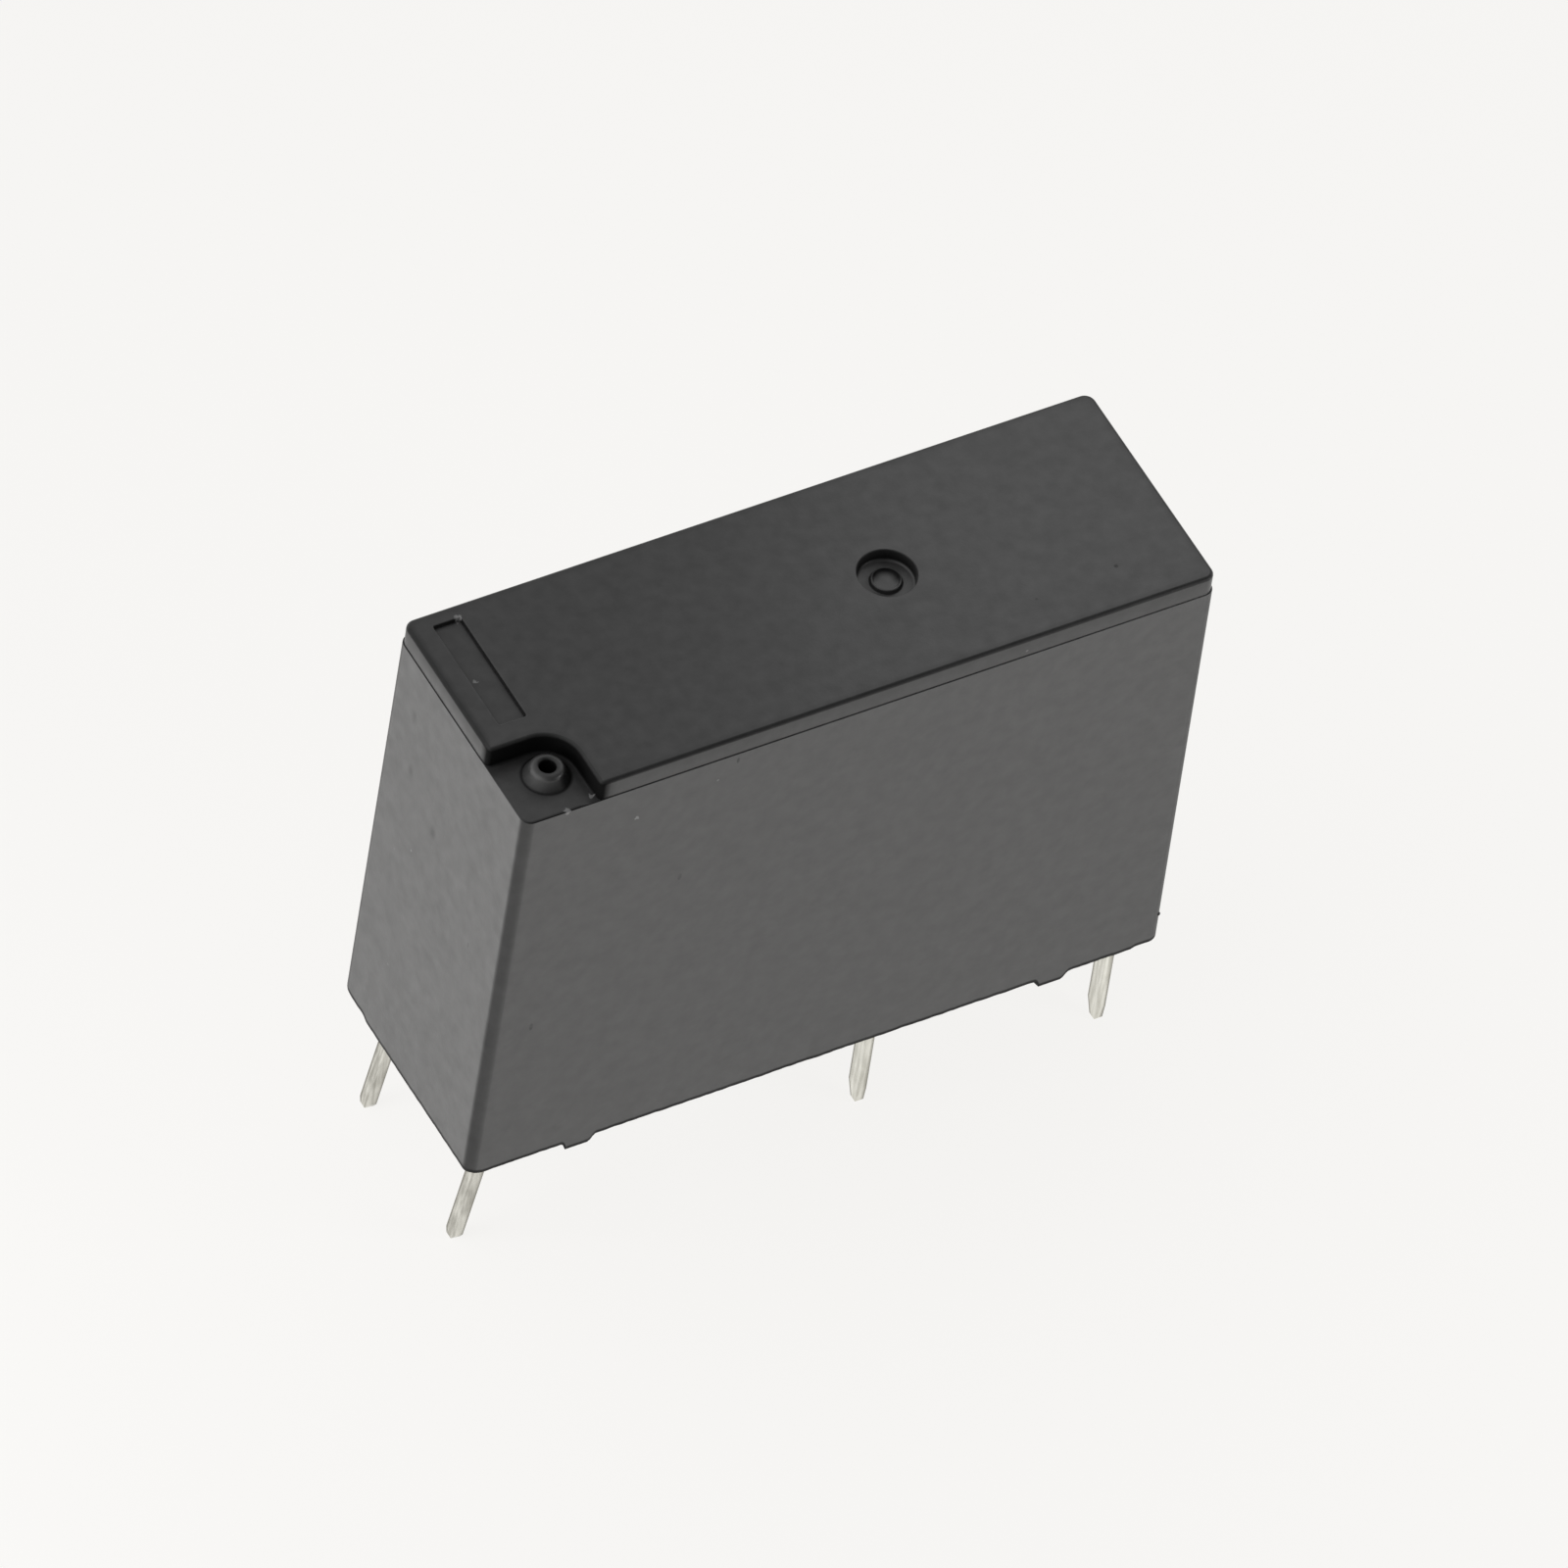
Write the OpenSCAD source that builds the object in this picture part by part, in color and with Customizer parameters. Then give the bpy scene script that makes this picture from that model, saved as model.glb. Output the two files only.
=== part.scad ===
// PCB power relay with one normally-open contact, standing on its pins.
// The origin is the middle of the case's footprint on the board: +X runs towards the
// contact end, -Y is the side with both contact pins, +Z points away from the board.

/* [Case] */
// Length of the case at its skirt edge
case_l = 20.5; // [19.5:0.1:24]
// Width of the case
case_w = 6.92; // [6.8:0.02:9]
// Height of the case from its skirt edge to its top
case_h = 14.47; // [14:0.01:18]
// Lean of the end faces that frees the case from its mould
end_draft = 0.6; // [0:0.05:1]
// Thickness of the side walls
wall = 0.5; // [0.4:0.05:0.6]
// Thickness of the top
top_t = 0.75; // [0.65:0.05:1]
// Radius of the upright edges
corner_r = 0.3; // [0.15:0.05:0.45]
// Radius of the top edges
top_edge_r = 0.1; // [0.05:0.05:0.3]
// Height of the stepped band under the top
band_h = 0.62; // [0.5:0.02:0.9]
// How far the band stands back from the sides
band_step = 0.03; // [0.02:0.01:0.12]
// Height of the standoff feet
foot_h = 0.25; // [0.15:0.05:0.5]
// Width of a standoff foot at its sole
foot_w = 0.65; // [0.4:0.05:1.5]
// Slope of each side of a foot
foot_flare = 0.08; // [0:0.02:0.2]
// Distance of the feet from the middle of the case
foot_x = 7; // [5:0.05:8]
// Length of the relief in the skirt edge at the far coil corner
relief_l = 1.3; // [0.8:0.1:2]
// Height of that relief
relief_h = 0.2; // [0.16:0.01:0.25]
// Radius of the turn that ends that relief at the corner
relief_turn_r = 0.5; // [0.3:0.05:0.6]
// Height of the relief along the skirt edge of the coil end
coil_relief_h = 0.09; // [0.05:0.01:0.15]
// Length of the relief in the skirt edge at the near contact corner
end_relief_l = 0.8; // [0.5:0.1:1.5]
// Height of that relief
end_relief_h = 0.1; // [0.05:0.01:0.2]
// Thickness of the armature's stop under the top
stop_t = 0.5; // [0.3:0.05:0.8]
// Width of the armature's stop
stop_w = 2.4; // [1.5:0.1:4]

/* [Case top] */
// Length of the vent pocket from the end face
pocket_l = 2.15; // [2.1:0.05:2.6]
// Width of the vent pocket from the long face
pocket_w = 2.15; // [2.1:0.05:2.6]
// Radius of the pocket's inner corner
pocket_r = 0.93; // [0.3:0.01:1.2]
// Distance of the vent nub from both outer faces
nub_inset = 1.3; // [1.15:0.05:1.35]
// Diameter of the nub's foot
nub_d = 1.2; // [1:0.05:1.3]
// Diameter of the nub's tip
nub_tip_d = 0.8; // [0.75:0.05:1]
// Height of the nub
nub_h = 0.4; // [0.2:0.05:0.5]
// Diameter of the vent hole
vent_d = 0.45; // [0.3:0.05:0.6]
// Distance of the coil-end mark from the end face
mark_inset = 0.68; // [0.5:0.01:1]
// Width of the coil-end mark
mark_w = 0.81; // [0.5:0.01:1]
// Length of the coil-end mark
mark_l = 3.61; // [3:0.01:4]
// Distance of the mark from the far long face
mark_side = 0.47; // [0.4:0.01:0.7]
// Depth of the coil-end mark
mark_depth = 0.12; // [0.05:0.01:0.3]
// Distance of the moulding gate from the middle
gate_x = 2.23; // [-4:0.01:6]
// Diameter of the gate dimple
gate_d = 1.6; // [1.2:0.05:2]
// Depth of the gate dimple
gate_depth = 0.35; // [0.2:0.05:0.4]
// Diameter of the broken-off gate stub
gate_stub_d = 0.86; // [0.5:0.02:1]
// Height of the gate stub
gate_stub_h = 0.12; // [0.05:0.01:0.18]

/* [Base and seal] */
// Depth of the base's underside inside the skirt
base_recess = 0.5; // [0.45:0.05:0.8]
// Thickness of the base
base_t = 1.5; // [1.2:0.1:2]
// Thickness of the sealing resin
resin_t = 0.4; // [0.2:0.05:0.42]
// Thickness of the insulating barrier
barrier_t = 0.7; // [0.5:0.05:0.9]
// Thickness of the ribs behind the moving terminal
rib_t = 0.6; // [0.4:0.05:0.7]
// Height of the terminal supports over the base
support_h = 3.8; // [2:0.1:6]

/* [Magnet] */
// Thickness of the yoke
yoke_t = 1; // [0.8:0.05:1.1]
// Width of the yoke
yoke_w = 4.6; // [4:0.1:5]
// Inner radius of the yoke's fold
yoke_fold_r = 0.1; // [0.05:0.05:0.15]
// Free height between the yoke and the case's top
head_room = 2.35; // [2.3:0.05:3]
// Diameter of the core
core_d = 2.6; // [2:0.1:2.8]
// Diameter of the pole head
pole_d = 4.4; // [3.6:0.1:4.6]
// Thickness of the pole head
pole_t = 0.45; // [0.3:0.05:0.6]
// Wall of the bobbin's tube
tube_t = 0.4; // [0.3:0.05:0.5]
// Corner radius of the bobbin's flanges
flange_r = 0.5; // [0.2:0.05:1]
// Thickness of the bobbin's flanges
flange_t = 0.6; // [0.4:0.05:0.8]
// Depth of the winding below the flange's edge
winding_margin = 0.15; // [0.1:0.05:0.4]
// Room for the return spring between yoke and barrier
heel_space = 1.44; // [1.3:0.02:1.6]
// Thickness of the return spring
return_t = 0.12; // [0.08:0.01:0.15]
// Width of the return spring
return_w = 1.6; // [1:0.1:1.8]
// Length of the return spring along the yoke
return_l = 6; // [5.5:0.1:7]
// Diameter of the staking bosses on the yoke
boss_d = 0.7; // [0.5:0.05:0.8]

/* [Armature and card] */
// Thickness of the armature
armature_t = 0.9; // [0.7:0.05:1]
// Width of the armature
armature_w = 4.4; // [4:0.1:4.8]
// Angle that the armature swings through
armature_throw = 3.6; // [2:0.1:4]
// Reach of the armature past the core's axis
armature_reach = 2.5; // [2:0.1:2.7]
// Corner radius of the armature
armature_r = 0.6; // [0.2:0.05:1]
// Length of the armature's heel behind the yoke
heel_l = 1.3; // [1.25:0.05:1.35]
// Length of the tongue that carries the card
tongue_l = 0.8; // [0.6:0.05:0.9]
// Width of the tongue
tongue_w = 2.4; // [1.6:0.1:2.8]
// Width of the card
card_w = 4.4; // [4.2:0.1:5]
// Thickness of the card's arm
card_t = 0.65; // [0.5:0.05:0.7]
// Wall of the card round the tongue
grip_t = 0.3; // [0.25:0.05:0.4]
// Radius of the card's lifting bar
bar_r = 0.3; // [0.2:0.02:0.35]
// Distance of the lifting bar from the contacts' axis
bar_setback = 2; // [1.6:0.05:2.4]

/* [Contacts] */
// Thickness of the leaf
leaf_t = 0.15; // [0.1:0.01:0.18]
// Width of the leaf at its root
leaf_w = 3; // [2.6:0.1:3.2]
// Width of the leaf at its tip
leaf_tip_w = 2.2; // [2:0.1:2.6]
// Drop of the leaf below the yoke's top
leaf_drop = 0.85; // [0.8:0.05:1]
// Diameter of the contacts
contact_d = 1.8; // [1.4:0.1:2]
// Height of the moving contact's head
contact_h = 0.5; // [0.4:0.05:0.6]
// Height of the fixed contact's head
fixed_h = 0.4; // [0.3:0.05:0.5]
// Radius of the moving contact's dome
dome_r = 2.5; // [2:0.1:4]
// Diameter of the contacts' shanks
shank_d = 1; // [0.7:0.05:1.1]
// Diameter of a leaf rivet's shank
rivet_d = 0.5; // [0.4:0.05:0.6]
// Height of the contacts' and rivets' formed heads
formed_h = 0.15; // [0.1:0.01:0.2]
// Gap between the moving contact and the fixed terminal's plate
contact_end_gap = 0.35; // [0.3:0.05:0.5]
// Length of the leaf past its contact
leaf_end = 0.1; // [0.05:0.01:0.15]

/* [Terminals] */
// Reach of the contact blades below the board's surface
pin_reach = 3.4; // [2.5:0.1:5]
// Reach of the coil pins below the board's surface
coil_pin_reach = 3.45; // [2.5:0.05:5]
// Distance from the coil pins to the moving contact's pin
coil_to_contact = 11.32; // [11:0.02:12]
// Thickness of the contact blades
blade_t = 0.25; // [0.2:0.01:0.3]
// Width of the contact blades
blade_w = 0.5; // [0.4:0.05:0.9]
// Width of the terminal plates inside
plate_w = 4.1; // [3.6:0.1:4.4]
// Length of the moving terminal's tab
tab_l = 1.4; // [1.3:0.05:1.6]
// Inner radius of the folds in terminals and springs
fold_r = 0.15; // [0.1:0.05:0.2]
// Width of both terminals' tabs
tab_w = 2.4; // [2.2:0.1:2.8]
// Coil pin size along the case
coil_pin_t = 0.28; // [0.25:0.01:0.4]
// Coil pin size across the case
coil_pin_w = 0.4; // [0.35:0.01:0.6]
// Distance of the coil pins from the case's inner end
coil_pin_inset = 0.52; // [0.5:0.01:0.8]
// Outward lean of the coil pins below the resin
coil_pin_lean = 8.8; // [0:0.1:10]
// Height of the coil pins over the bobbin's block
coil_pin_top = 1.3; // [1:0.1:2]
// Length of the contact blades' tapered tips
tip_l = 0.5; // [0.3:0.05:0.8]
// Narrowing of the blades' tips on their near side; the far side narrows four times as much
tip_cut = 0.05; // [0.02:0.01:0.07]
// Length of the coil pins' blunt tips
coil_tip_l = 0.15; // [0.05:0.05:0.4]
// Narrowing of a coil pin on each side of its tip
coil_tip_cut = 0.08; // [0.02:0.01:0.14]
// Radius of the coil's lead wires
lead_r = 0.06; // [0.04:0.01:0.08]
// Height of the lead's turns
wrap_h = 0.6; // [0.4:0.05:0.8]
// Room between the coil pins and the winding's flange
lead_space = 1.95; // [1.8:0.05:2.2]

/* [Clearances] */
// Gap between a pin and the case's inner side
pin_side_gap = 0.31; // [0.08:0.005:0.35]
// Gap between the fixed terminal and the case's inner end
pin_end_gap = 0.105; // [0.03:0.005:0.15]
// Gap between pieces that are pushed together
fit = 0.02; // [0.01:0.005:0.03]
// Gap round the base inside the case
base_fit = 0.04; // [0.02:0.01:0.06]
// Gap between the coil's flanges and the case's sides
coil_side_gap = 0.15; // [0.1:0.01:0.3]
// Gap under the armature when it is pulled in
pivot_gap = 0.02; // [0.01:0.005:0.04]
// Gap between the lifting bar and the leaf at rest
bar_gap = 0.05; // [0.03:0.01:0.08]
// Gap between the contacts when the armature is pulled in
closed_gap = 0.03; // [0.02:0.01:0.06]
// Play of the leaf round its rivets, and of the card's legs round the leaf
side_play = 0.06; // [0.05:0.01:0.1]

/* [Hidden] */
$fn = 48;
// Overshoot of a cut past the face that it opens
over = 0.5;

// Heights over the board
z_skirt = foot_h;
z_top = z_skirt + case_h;
z_band = z_top - band_h;
z_ceiling = z_top - top_t;
z_base = z_skirt + base_recess;
z_floor = z_base + base_t;
z_resin = z_base - resin_t;
z_leg = z_floor + fit;
z_flange = z_leg + yoke_t + fit;
z_yoke = z_ceiling - head_room;
z_pole = z_yoke - pole_t;
z_leaf = z_yoke - leaf_drop;

// Length of the main block at the step, and inside of the case
step_l = case_l - 2 * (z_band - z_skirt) * tan(end_draft);
in_l = step_l - 2 * wall;
in_w = case_w - 2 * wall;

// Pin rows and stations along the case
row_y = in_w / 2 - pin_side_gap - blade_w / 2;
coil_x = -in_l / 2 + coil_pin_inset;
fixed_x = in_l / 2 - pin_end_gap - blade_t / 2;
moving_x = coil_x + coil_to_contact;
barrier_x = moving_x - blade_t / 2 - fit - rib_t - barrier_t;
pivot_x = barrier_x - heel_space;
pivot_z = z_yoke + pivot_gap;
flange_x = coil_x + lead_space;
flange_l = pivot_x - yoke_t - coil_side_gap - flange_x;
flange_w = in_w - 2 * coil_side_gap;
core_x = flange_x + flange_l / 2;
winding_d = min(flange_l, flange_w) - 2 * winding_margin;
tube_d = core_d + 2 * fit + 2 * tube_t;
block_x = coil_x - coil_pin_inset + coil_side_gap;
block_top = z_flange + flange_t;
wrap_d = 2 * (in_w / 2 - row_y) - pin_side_gap;

// Contact geometry
contact_x = fixed_x - blade_t / 2 - contact_end_gap - contact_d / 2;
bar_x = contact_x - bar_setback;
bar_reach = bar_x - moving_x;
leaf_flex = armature_throw * (bar_x - pivot_x) / bar_reach;
leaf_l = contact_x + contact_d / 2 + leaf_end - moving_x;
dome_z = leaf_t + contact_h - dome_r;
z_closed = z_leaf + (contact_x - moving_x) * sin(leaf_flex) + dome_z * cos(leaf_flex) + dome_r;
z_fixed = z_closed + closed_gap;
z_fixed_tab = z_fixed + fixed_h;
rivet_x = moving_x + blade_t / 2 + fold_r + fit + formed_h + rivet_d / 2;
rivet_y = tab_w / 4;
rivet_head_d = rivet_d + 2 * formed_h;
rivet_play = (rivet_x - moving_x + rivet_head_d / 2) * tan(leaf_flex) + closed_gap;

// The lifting bar's centre when the armature is pulled in, measured from the pivot
bar_rest = [bar_x - pivot_x, z_leaf - bar_gap - bar_r - pivot_z];
bar_flat = [
    bar_rest[0] * cos(armature_throw) - bar_rest[1] * sin(armature_throw),
    bar_rest[0] * sin(armature_throw) + bar_rest[1] * cos(armature_throw)
];

// Block with round upright edges, standing on z = 0
module rounded_block(l, w, h, r) {
    translate([-l / 2 + r, -w / 2, 0]) cube([l - 2 * r, w, h]);
    translate([-l / 2, -w / 2 + r, 0]) cube([l, w - 2 * r, h]);
    for (x = [-1, 1], y = [-1, 1])
        translate([x * (l / 2 - r), y * (w / 2 - r), 0]) cylinder(r = r, h = h);
}

// Upright outline with two round top corners
module arch(span, h, r) {
    translate([-span / 2, 0]) square([span, h - r]);
    translate([-span / 2 + r, 0]) square([span - 2 * r, h]);
    for (x = [-1, 1]) translate([x * (span / 2 - r), h - r]) circle(r);
}

// Outline in the YZ plane made into a plate of thickness t, centred on x
module sheet(x, t) {
    translate([x - t / 2, 0, 0]) rotate([90, 0, 90]) linear_extrude(t) children();
}

// Quarter fold of a sheet, round an axis along Y; side and up give the quadrant that it lies in
module fold(t, r, w, side, up) {
    rotate([90, 0, 0]) linear_extrude(w, center = true) intersection() {
        difference() {
            circle(r + t);
            circle(r);
        }
        translate([side > 0 ? 0 : -r - t, up > 0 ? 0 : -r - t]) square(r + t);
    }
}

// Pin with a tapered tip of length l, hanging down from z = 0 and centred on its own axis
module pin(t, w, reach, l, near_cut, far_cut) {
    sheet(0, t) polygon([
        [-w / 2, 0], [w / 2, 0], [w / 2, l - reach], [w / 2 - far_cut, -reach],
        [near_cut - w / 2, -reach], [-w / 2, l - reach]
    ]);
}

// Round wire from one point to another
module wire(from, to, r) {
    d = to - from;
    translate(from) rotate([0, acos(d[2] / norm(d)), atan2(d[1], d[0])]) cylinder(r = r, h = norm(d));
}

// Slot for a terminal, open towards the side (-1 near, 1 far) that its row lies on
module side_slot(x, side, t, w, z0, z1) {
    inner = row_y - w / 2 - fit;
    translate([x - t / 2 - fit, side > 0 ? inner : -inner - w - over, z0])
        cube([t + 2 * fit, w + over, z1 - z0]);
}

// Slots for all four terminals
module terminal_slots(z0, z1) {
    for (side = [-1, 1]) side_slot(coil_x, side, coil_pin_t, coil_pin_w, z0, z1);
    for (x = [moving_x, fixed_x]) side_slot(x, -1, blade_t, blade_w, z0, z1);
}

// Lays what was drawn flat on the yoke back into its raised rest position
module at_rest() {
    translate([pivot_x, 0, pivot_z]) rotate([0, armature_throw, 0]) translate([-pivot_x, 0, -pivot_z])
        children();
}

// Main block of the case, from the skirt edge up to the step
module drafted_block() {
    h = z_band - z_skirt;
    // Distance of a leaning corner's axis from the end face
    r = corner_r / cos(end_draft);
    // Section along the case, drawn in from its ends by a margin
    module section(margin, w) {
        low = case_l / 2 - margin;
        high = step_l / 2 - margin;
        rotate([90, 0, 0]) linear_extrude(w, center = true)
            polygon([[-low, 0], [low, 0], [high, h], [-high, h]]);
    }
    section(0, case_w - 2 * corner_r);
    section(r, case_w);
    intersection() {
        for (x = [-1, 1], y = [-1, 1])
            translate([x * (case_l / 2 - r), y * (case_w / 2 - corner_r), 0]) rotate([0, -x * end_draft, 0])
                translate([0, 0, -over]) cylinder(r = corner_r, h = h + 2 * over);
        translate([-case_l, -case_w, 0]) cube([2 * case_l, 2 * case_w, h]);
    }
}

module case_outside() {
    band_l = step_l - 2 * band_step;
    band_w = case_w - 2 * band_step;
    translate([0, 0, z_skirt]) drafted_block();
    translate([0, 0, z_skirt]) intersection() {
        rounded_block(band_l, band_w, case_h, corner_r);
        rotate([90, 0, 0]) linear_extrude(2 * case_w, center = true) arch(band_l, case_h, top_edge_r);
        rotate([90, 0, 90]) linear_extrude(2 * case_l, center = true) arch(band_w, case_h, top_edge_r);
    }
}

// Hollow of the case, with a lower ceiling under the vent pocket
module case_inside() {
    difference() {
        translate([-in_l / 2, -in_w / 2, z_skirt - over]) cube([in_l, in_w, z_ceiling - z_skirt + over]);
        translate([-in_l / 2 - over, -in_w / 2 - over, z_band - wall])
            cube([pocket_l + over, pocket_w + over, top_t + wall]);
    }
}

// Corner cut round the vent, open at the top and to two faces
module vent_pocket() {
    translate([-step_l / 2, -case_w / 2, z_band]) {
        translate([-over, -over, 0]) cube([pocket_l - pocket_r + over, pocket_w + over, band_h + over]);
        translate([-over, -over, 0]) cube([pocket_l + over, pocket_w - pocket_r + over, band_h + over]);
        translate([pocket_l - pocket_r, pocket_w - pocket_r, 0]) cylinder(r = pocket_r, h = band_h + over);
    }
}

module coil_end_mark() {
    translate([mark_inset - step_l / 2, case_w / 2 - mark_side - mark_l, z_top - mark_depth])
        cube([mark_w, mark_l, mark_depth + over]);
}

module gate_dimple() {
    translate([gate_x, 0, z_top - gate_depth]) difference() {
        cylinder(d = gate_d, h = gate_depth + over);
        translate([0, 0, -over]) cylinder(d = gate_stub_d, h = gate_stub_h + over);
    }
}

// Standoff feet under both long walls
module feet() {
    half = foot_w / 2;
    for (x = [-1, 1], y = [-1, 1])
        translate([x * foot_x, y * (case_w - wall) / 2 + wall / 2, 0]) rotate([90, 0, 0])
            linear_extrude(wall) polygon([
                [-half, 0], [half, 0], [half + foot_flare, foot_h], [half + foot_flare, foot_h + wall],
                [-half - foot_flare, foot_h + wall], [-half - foot_flare, foot_h]
            ]);
}

// Cut in the skirt edge at the corner on side x, y
module skirt_relief(x, y, l, h) {
    translate([x * case_l / 2 - l, y * case_w / 2 - l, z_skirt - over]) cube([2 * l, 2 * l, h + over]);
}

// Cut that lifts the skirt edge of the coil end, past its near upright edge
module coil_end_relief() {
    translate([-case_l / 2 - over, corner_r - case_w / 2, z_skirt - over])
        cube([(case_l - in_l) / 2 + over, case_w - corner_r, coil_relief_h + over]);
}

// Cut that turns the skirt edge up at the far coil corner
module relief_turn() {
    r = relief_turn_r;
    translate([-case_l / 2, case_w / 2, z_skirt + relief_h + r]) difference() {
        translate([-over, -r, -r - over]) cube([r + over, r + over, r + over]);
        translate([-2 * over, -r, 0]) rotate([0, 90, 0]) cylinder(r = r, h = r + 4 * over);
        translate([r, 2 * over, 0]) rotate([90, 0, 0]) cylinder(r = r, h = r + 4 * over);
    }
}

// Rib under the top that stops the armature when it is let go
module armature_stop() {
    stop_x = core_x - armature_reach + stop_t;
    // Highest point of the resting armature under the rib
    z = pivot_z + (pivot_x - stop_x) * sin(armature_throw) + armature_t * cos(armature_throw);
    translate([stop_x, -stop_w / 2, z + bar_gap])
        cube([stop_t, stop_w, z_ceiling - z - bar_gap + top_t / 4]);
}

module case() {
    nub_at = [nub_inset - step_l / 2, nub_inset - case_w / 2, z_band];
    color("dimgray") difference() {
        union() {
            difference() {
                case_outside();
                case_inside();
                vent_pocket();
                coil_end_mark();
                gate_dimple();
                skirt_relief(-1, 1, relief_l, relief_h);
                relief_turn();
                coil_end_relief();
                skirt_relief(1, -1, end_relief_l, end_relief_h);
            }
            feet();
            armature_stop();
            translate(nub_at) cylinder(d1 = nub_d, d2 = nub_tip_d, h = nub_h);
        }
        translate(nub_at - [0, 0, wall + over]) cylinder(d = vent_d, h = nub_h + wall + 2 * over);
    }
}

module base() {
    l = in_l - 2 * base_fit;
    w = in_w - 2 * base_fit;
    rib_w = w / 5;
    post_x = fixed_x - blade_t / 2 - fit - rib_t;
    color("black") difference() {
        union() {
            translate([-l / 2, -w / 2, z_base]) cube([l, w, base_t]);
            // Barrier between the coil and the contacts
            translate([barrier_x, -w / 2, z_base]) cube([barrier_t, w, z_leaf - z_base]);
            // Ribs behind the moving terminal, and a post behind the fixed one
            for (y = [-1, 1]) translate([barrier_x, y * rib_w - rib_w / 2, z_base])
                cube([barrier_t + rib_t, rib_w, base_t + support_h]);
            translate([post_x, -rib_w, z_base]) cube([rib_t, 2 * rib_w, base_t + support_h]);
        }
        terminal_slots(z_base - over, z_floor + over);
    }
}

module sealing_resin() {
    l = in_l - 2 * fit;
    w = in_w - 2 * fit;
    // Hole in the seal round one pin
    module pin_hole(x, y, t, wide) {
        translate([x - t / 2 - fit, y - wide / 2 - fit, z_resin - over])
            cube([t + 2 * fit, wide + 2 * fit, resin_t + 2 * over]);
    }
    color("darkslategray") difference() {
        translate([-l / 2, -w / 2, z_resin]) cube([l, w, resin_t]);
        for (y = [-1, 1]) pin_hole(coil_x, y * row_y, coil_pin_t, coil_pin_w);
        for (x = [moving_x, fixed_x]) pin_hole(x, -row_y, blade_t, blade_w);
    }
}

module bobbin() {
    module flange(z) {
        translate([core_x, 0, z]) rounded_block(flange_l, flange_w, flange_t, flange_r);
    }
    color("ivory") difference() {
        union() {
            flange(z_flange);
            flange(z_pole - fit - flange_t);
            translate([core_x, 0, z_flange]) cylinder(d = tube_d, h = z_pole - fit - z_flange);
            // Block beside the yoke that holds the coil pins
            translate([block_x, -flange_w / 2, z_leg])
                cube([flange_x - fit - block_x, flange_w, block_top - z_leg]);
            translate([block_x, -flange_w / 2, z_flange])
                cube([flange_x + flange_r - block_x, flange_w, flange_t]);
        }
        translate([core_x, 0, z_flange - over]) cylinder(d = core_d + 2 * fit, h = z_pole);
        for (side = [-1, 1]) side_slot(coil_x, side, coil_pin_t, coil_pin_w, z_leg - over, block_top + over);
    }
}

module coil_winding() {
    z0 = z_flange + flange_t + fit;
    z1 = z_pole - 2 * fit - flange_t;
    color("peru") translate([core_x, 0, z0]) difference() {
        cylinder(d = winding_d, h = z1 - z0);
        translate([0, 0, -over]) cylinder(d = tube_d + 2 * fit, h = z1 - z0 + 2 * over);
    }
}

// End of the winding's wire: a run to the coil pin and the turns round it
module coil_lead(side) {
    z = block_top + coil_pin_top / 2;
    // Half angle between the two leads where they leave the winding
    leave = 30;
    winding_edge = [core_x - winding_d / 2 * cos(leave), side * winding_d / 2 * sin(leave), z];
    color("sienna") {
        difference() {
            translate([coil_x, side * row_y, z - wrap_h / 2]) cylinder(d = wrap_d, h = wrap_h);
            translate([coil_x - coil_pin_t / 2 - fit, side * row_y - coil_pin_w / 2 - fit, z - wrap_h])
                cube([coil_pin_t + 2 * fit, coil_pin_w + 2 * fit, 2 * wrap_h]);
        }
        wire([coil_x + (wrap_d - lead_r) / 2, side * row_y, z], winding_edge, lead_r);
    }
}

module coil_lead_front() { coil_lead(-1); }

module coil_lead_rear() { coil_lead(1); }

// Upright wire pin, bent outwards below the resin
module coil_terminal(side) {
    bent = (coil_pin_reach + z_resin - coil_pin_t / 2 * sin(coil_pin_lean)) / cos(coil_pin_lean);
    color("gainsboro") translate([coil_x, side * row_y, z_resin]) {
        translate([-coil_pin_t / 2, -coil_pin_w / 2, 0])
            cube([coil_pin_t, coil_pin_w, block_top + coil_pin_top - z_resin]);
        rotate([0, coil_pin_lean, 0])
            pin(coil_pin_t, coil_pin_w, bent, coil_tip_l, coil_tip_cut, coil_tip_cut);
    }
}

module coil_terminal_front() { coil_terminal(-1); }

module coil_terminal_rear() { coil_terminal(1); }

module core() {
    color("silver") translate([core_x, 0, 0]) {
        translate([0, 0, z_leg]) cylinder(d = core_d, h = z_yoke - z_leg);
        translate([0, 0, z_pole]) cylinder(d = pole_d, h = pole_t);
    }
}

module yoke() {
    bend = yoke_t + yoke_fold_r;
    color("silver") difference() {
        union() {
            translate([flange_x, -yoke_w / 2, z_leg]) cube([pivot_x - bend - flange_x, yoke_w, yoke_t]);
            translate([pivot_x - bend, 0, z_leg + bend]) fold(yoke_t, yoke_fold_r, yoke_w, 1, -1);
            translate([pivot_x - yoke_t, -yoke_w / 2, z_leg + bend])
                cube([yoke_t, yoke_w, z_yoke - z_leg - bend]);
            // Bosses that stake the return spring
            for (z = boss_heights()) translate([pivot_x - over, 0, z]) rotate([0, 90, 0])
                cylinder(d = boss_d, h = over + fit + 2 * return_t);
        }
        translate([core_x, 0, z_leg - over]) cylinder(d = core_d + 2 * fit, h = yoke_t + 2 * over);
    }
}

// Heights of the two staking bosses, near the return spring's lower end
function boss_heights() = [for (n = [1, 3]) z_yoke - return_l + n * boss_d];

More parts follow.
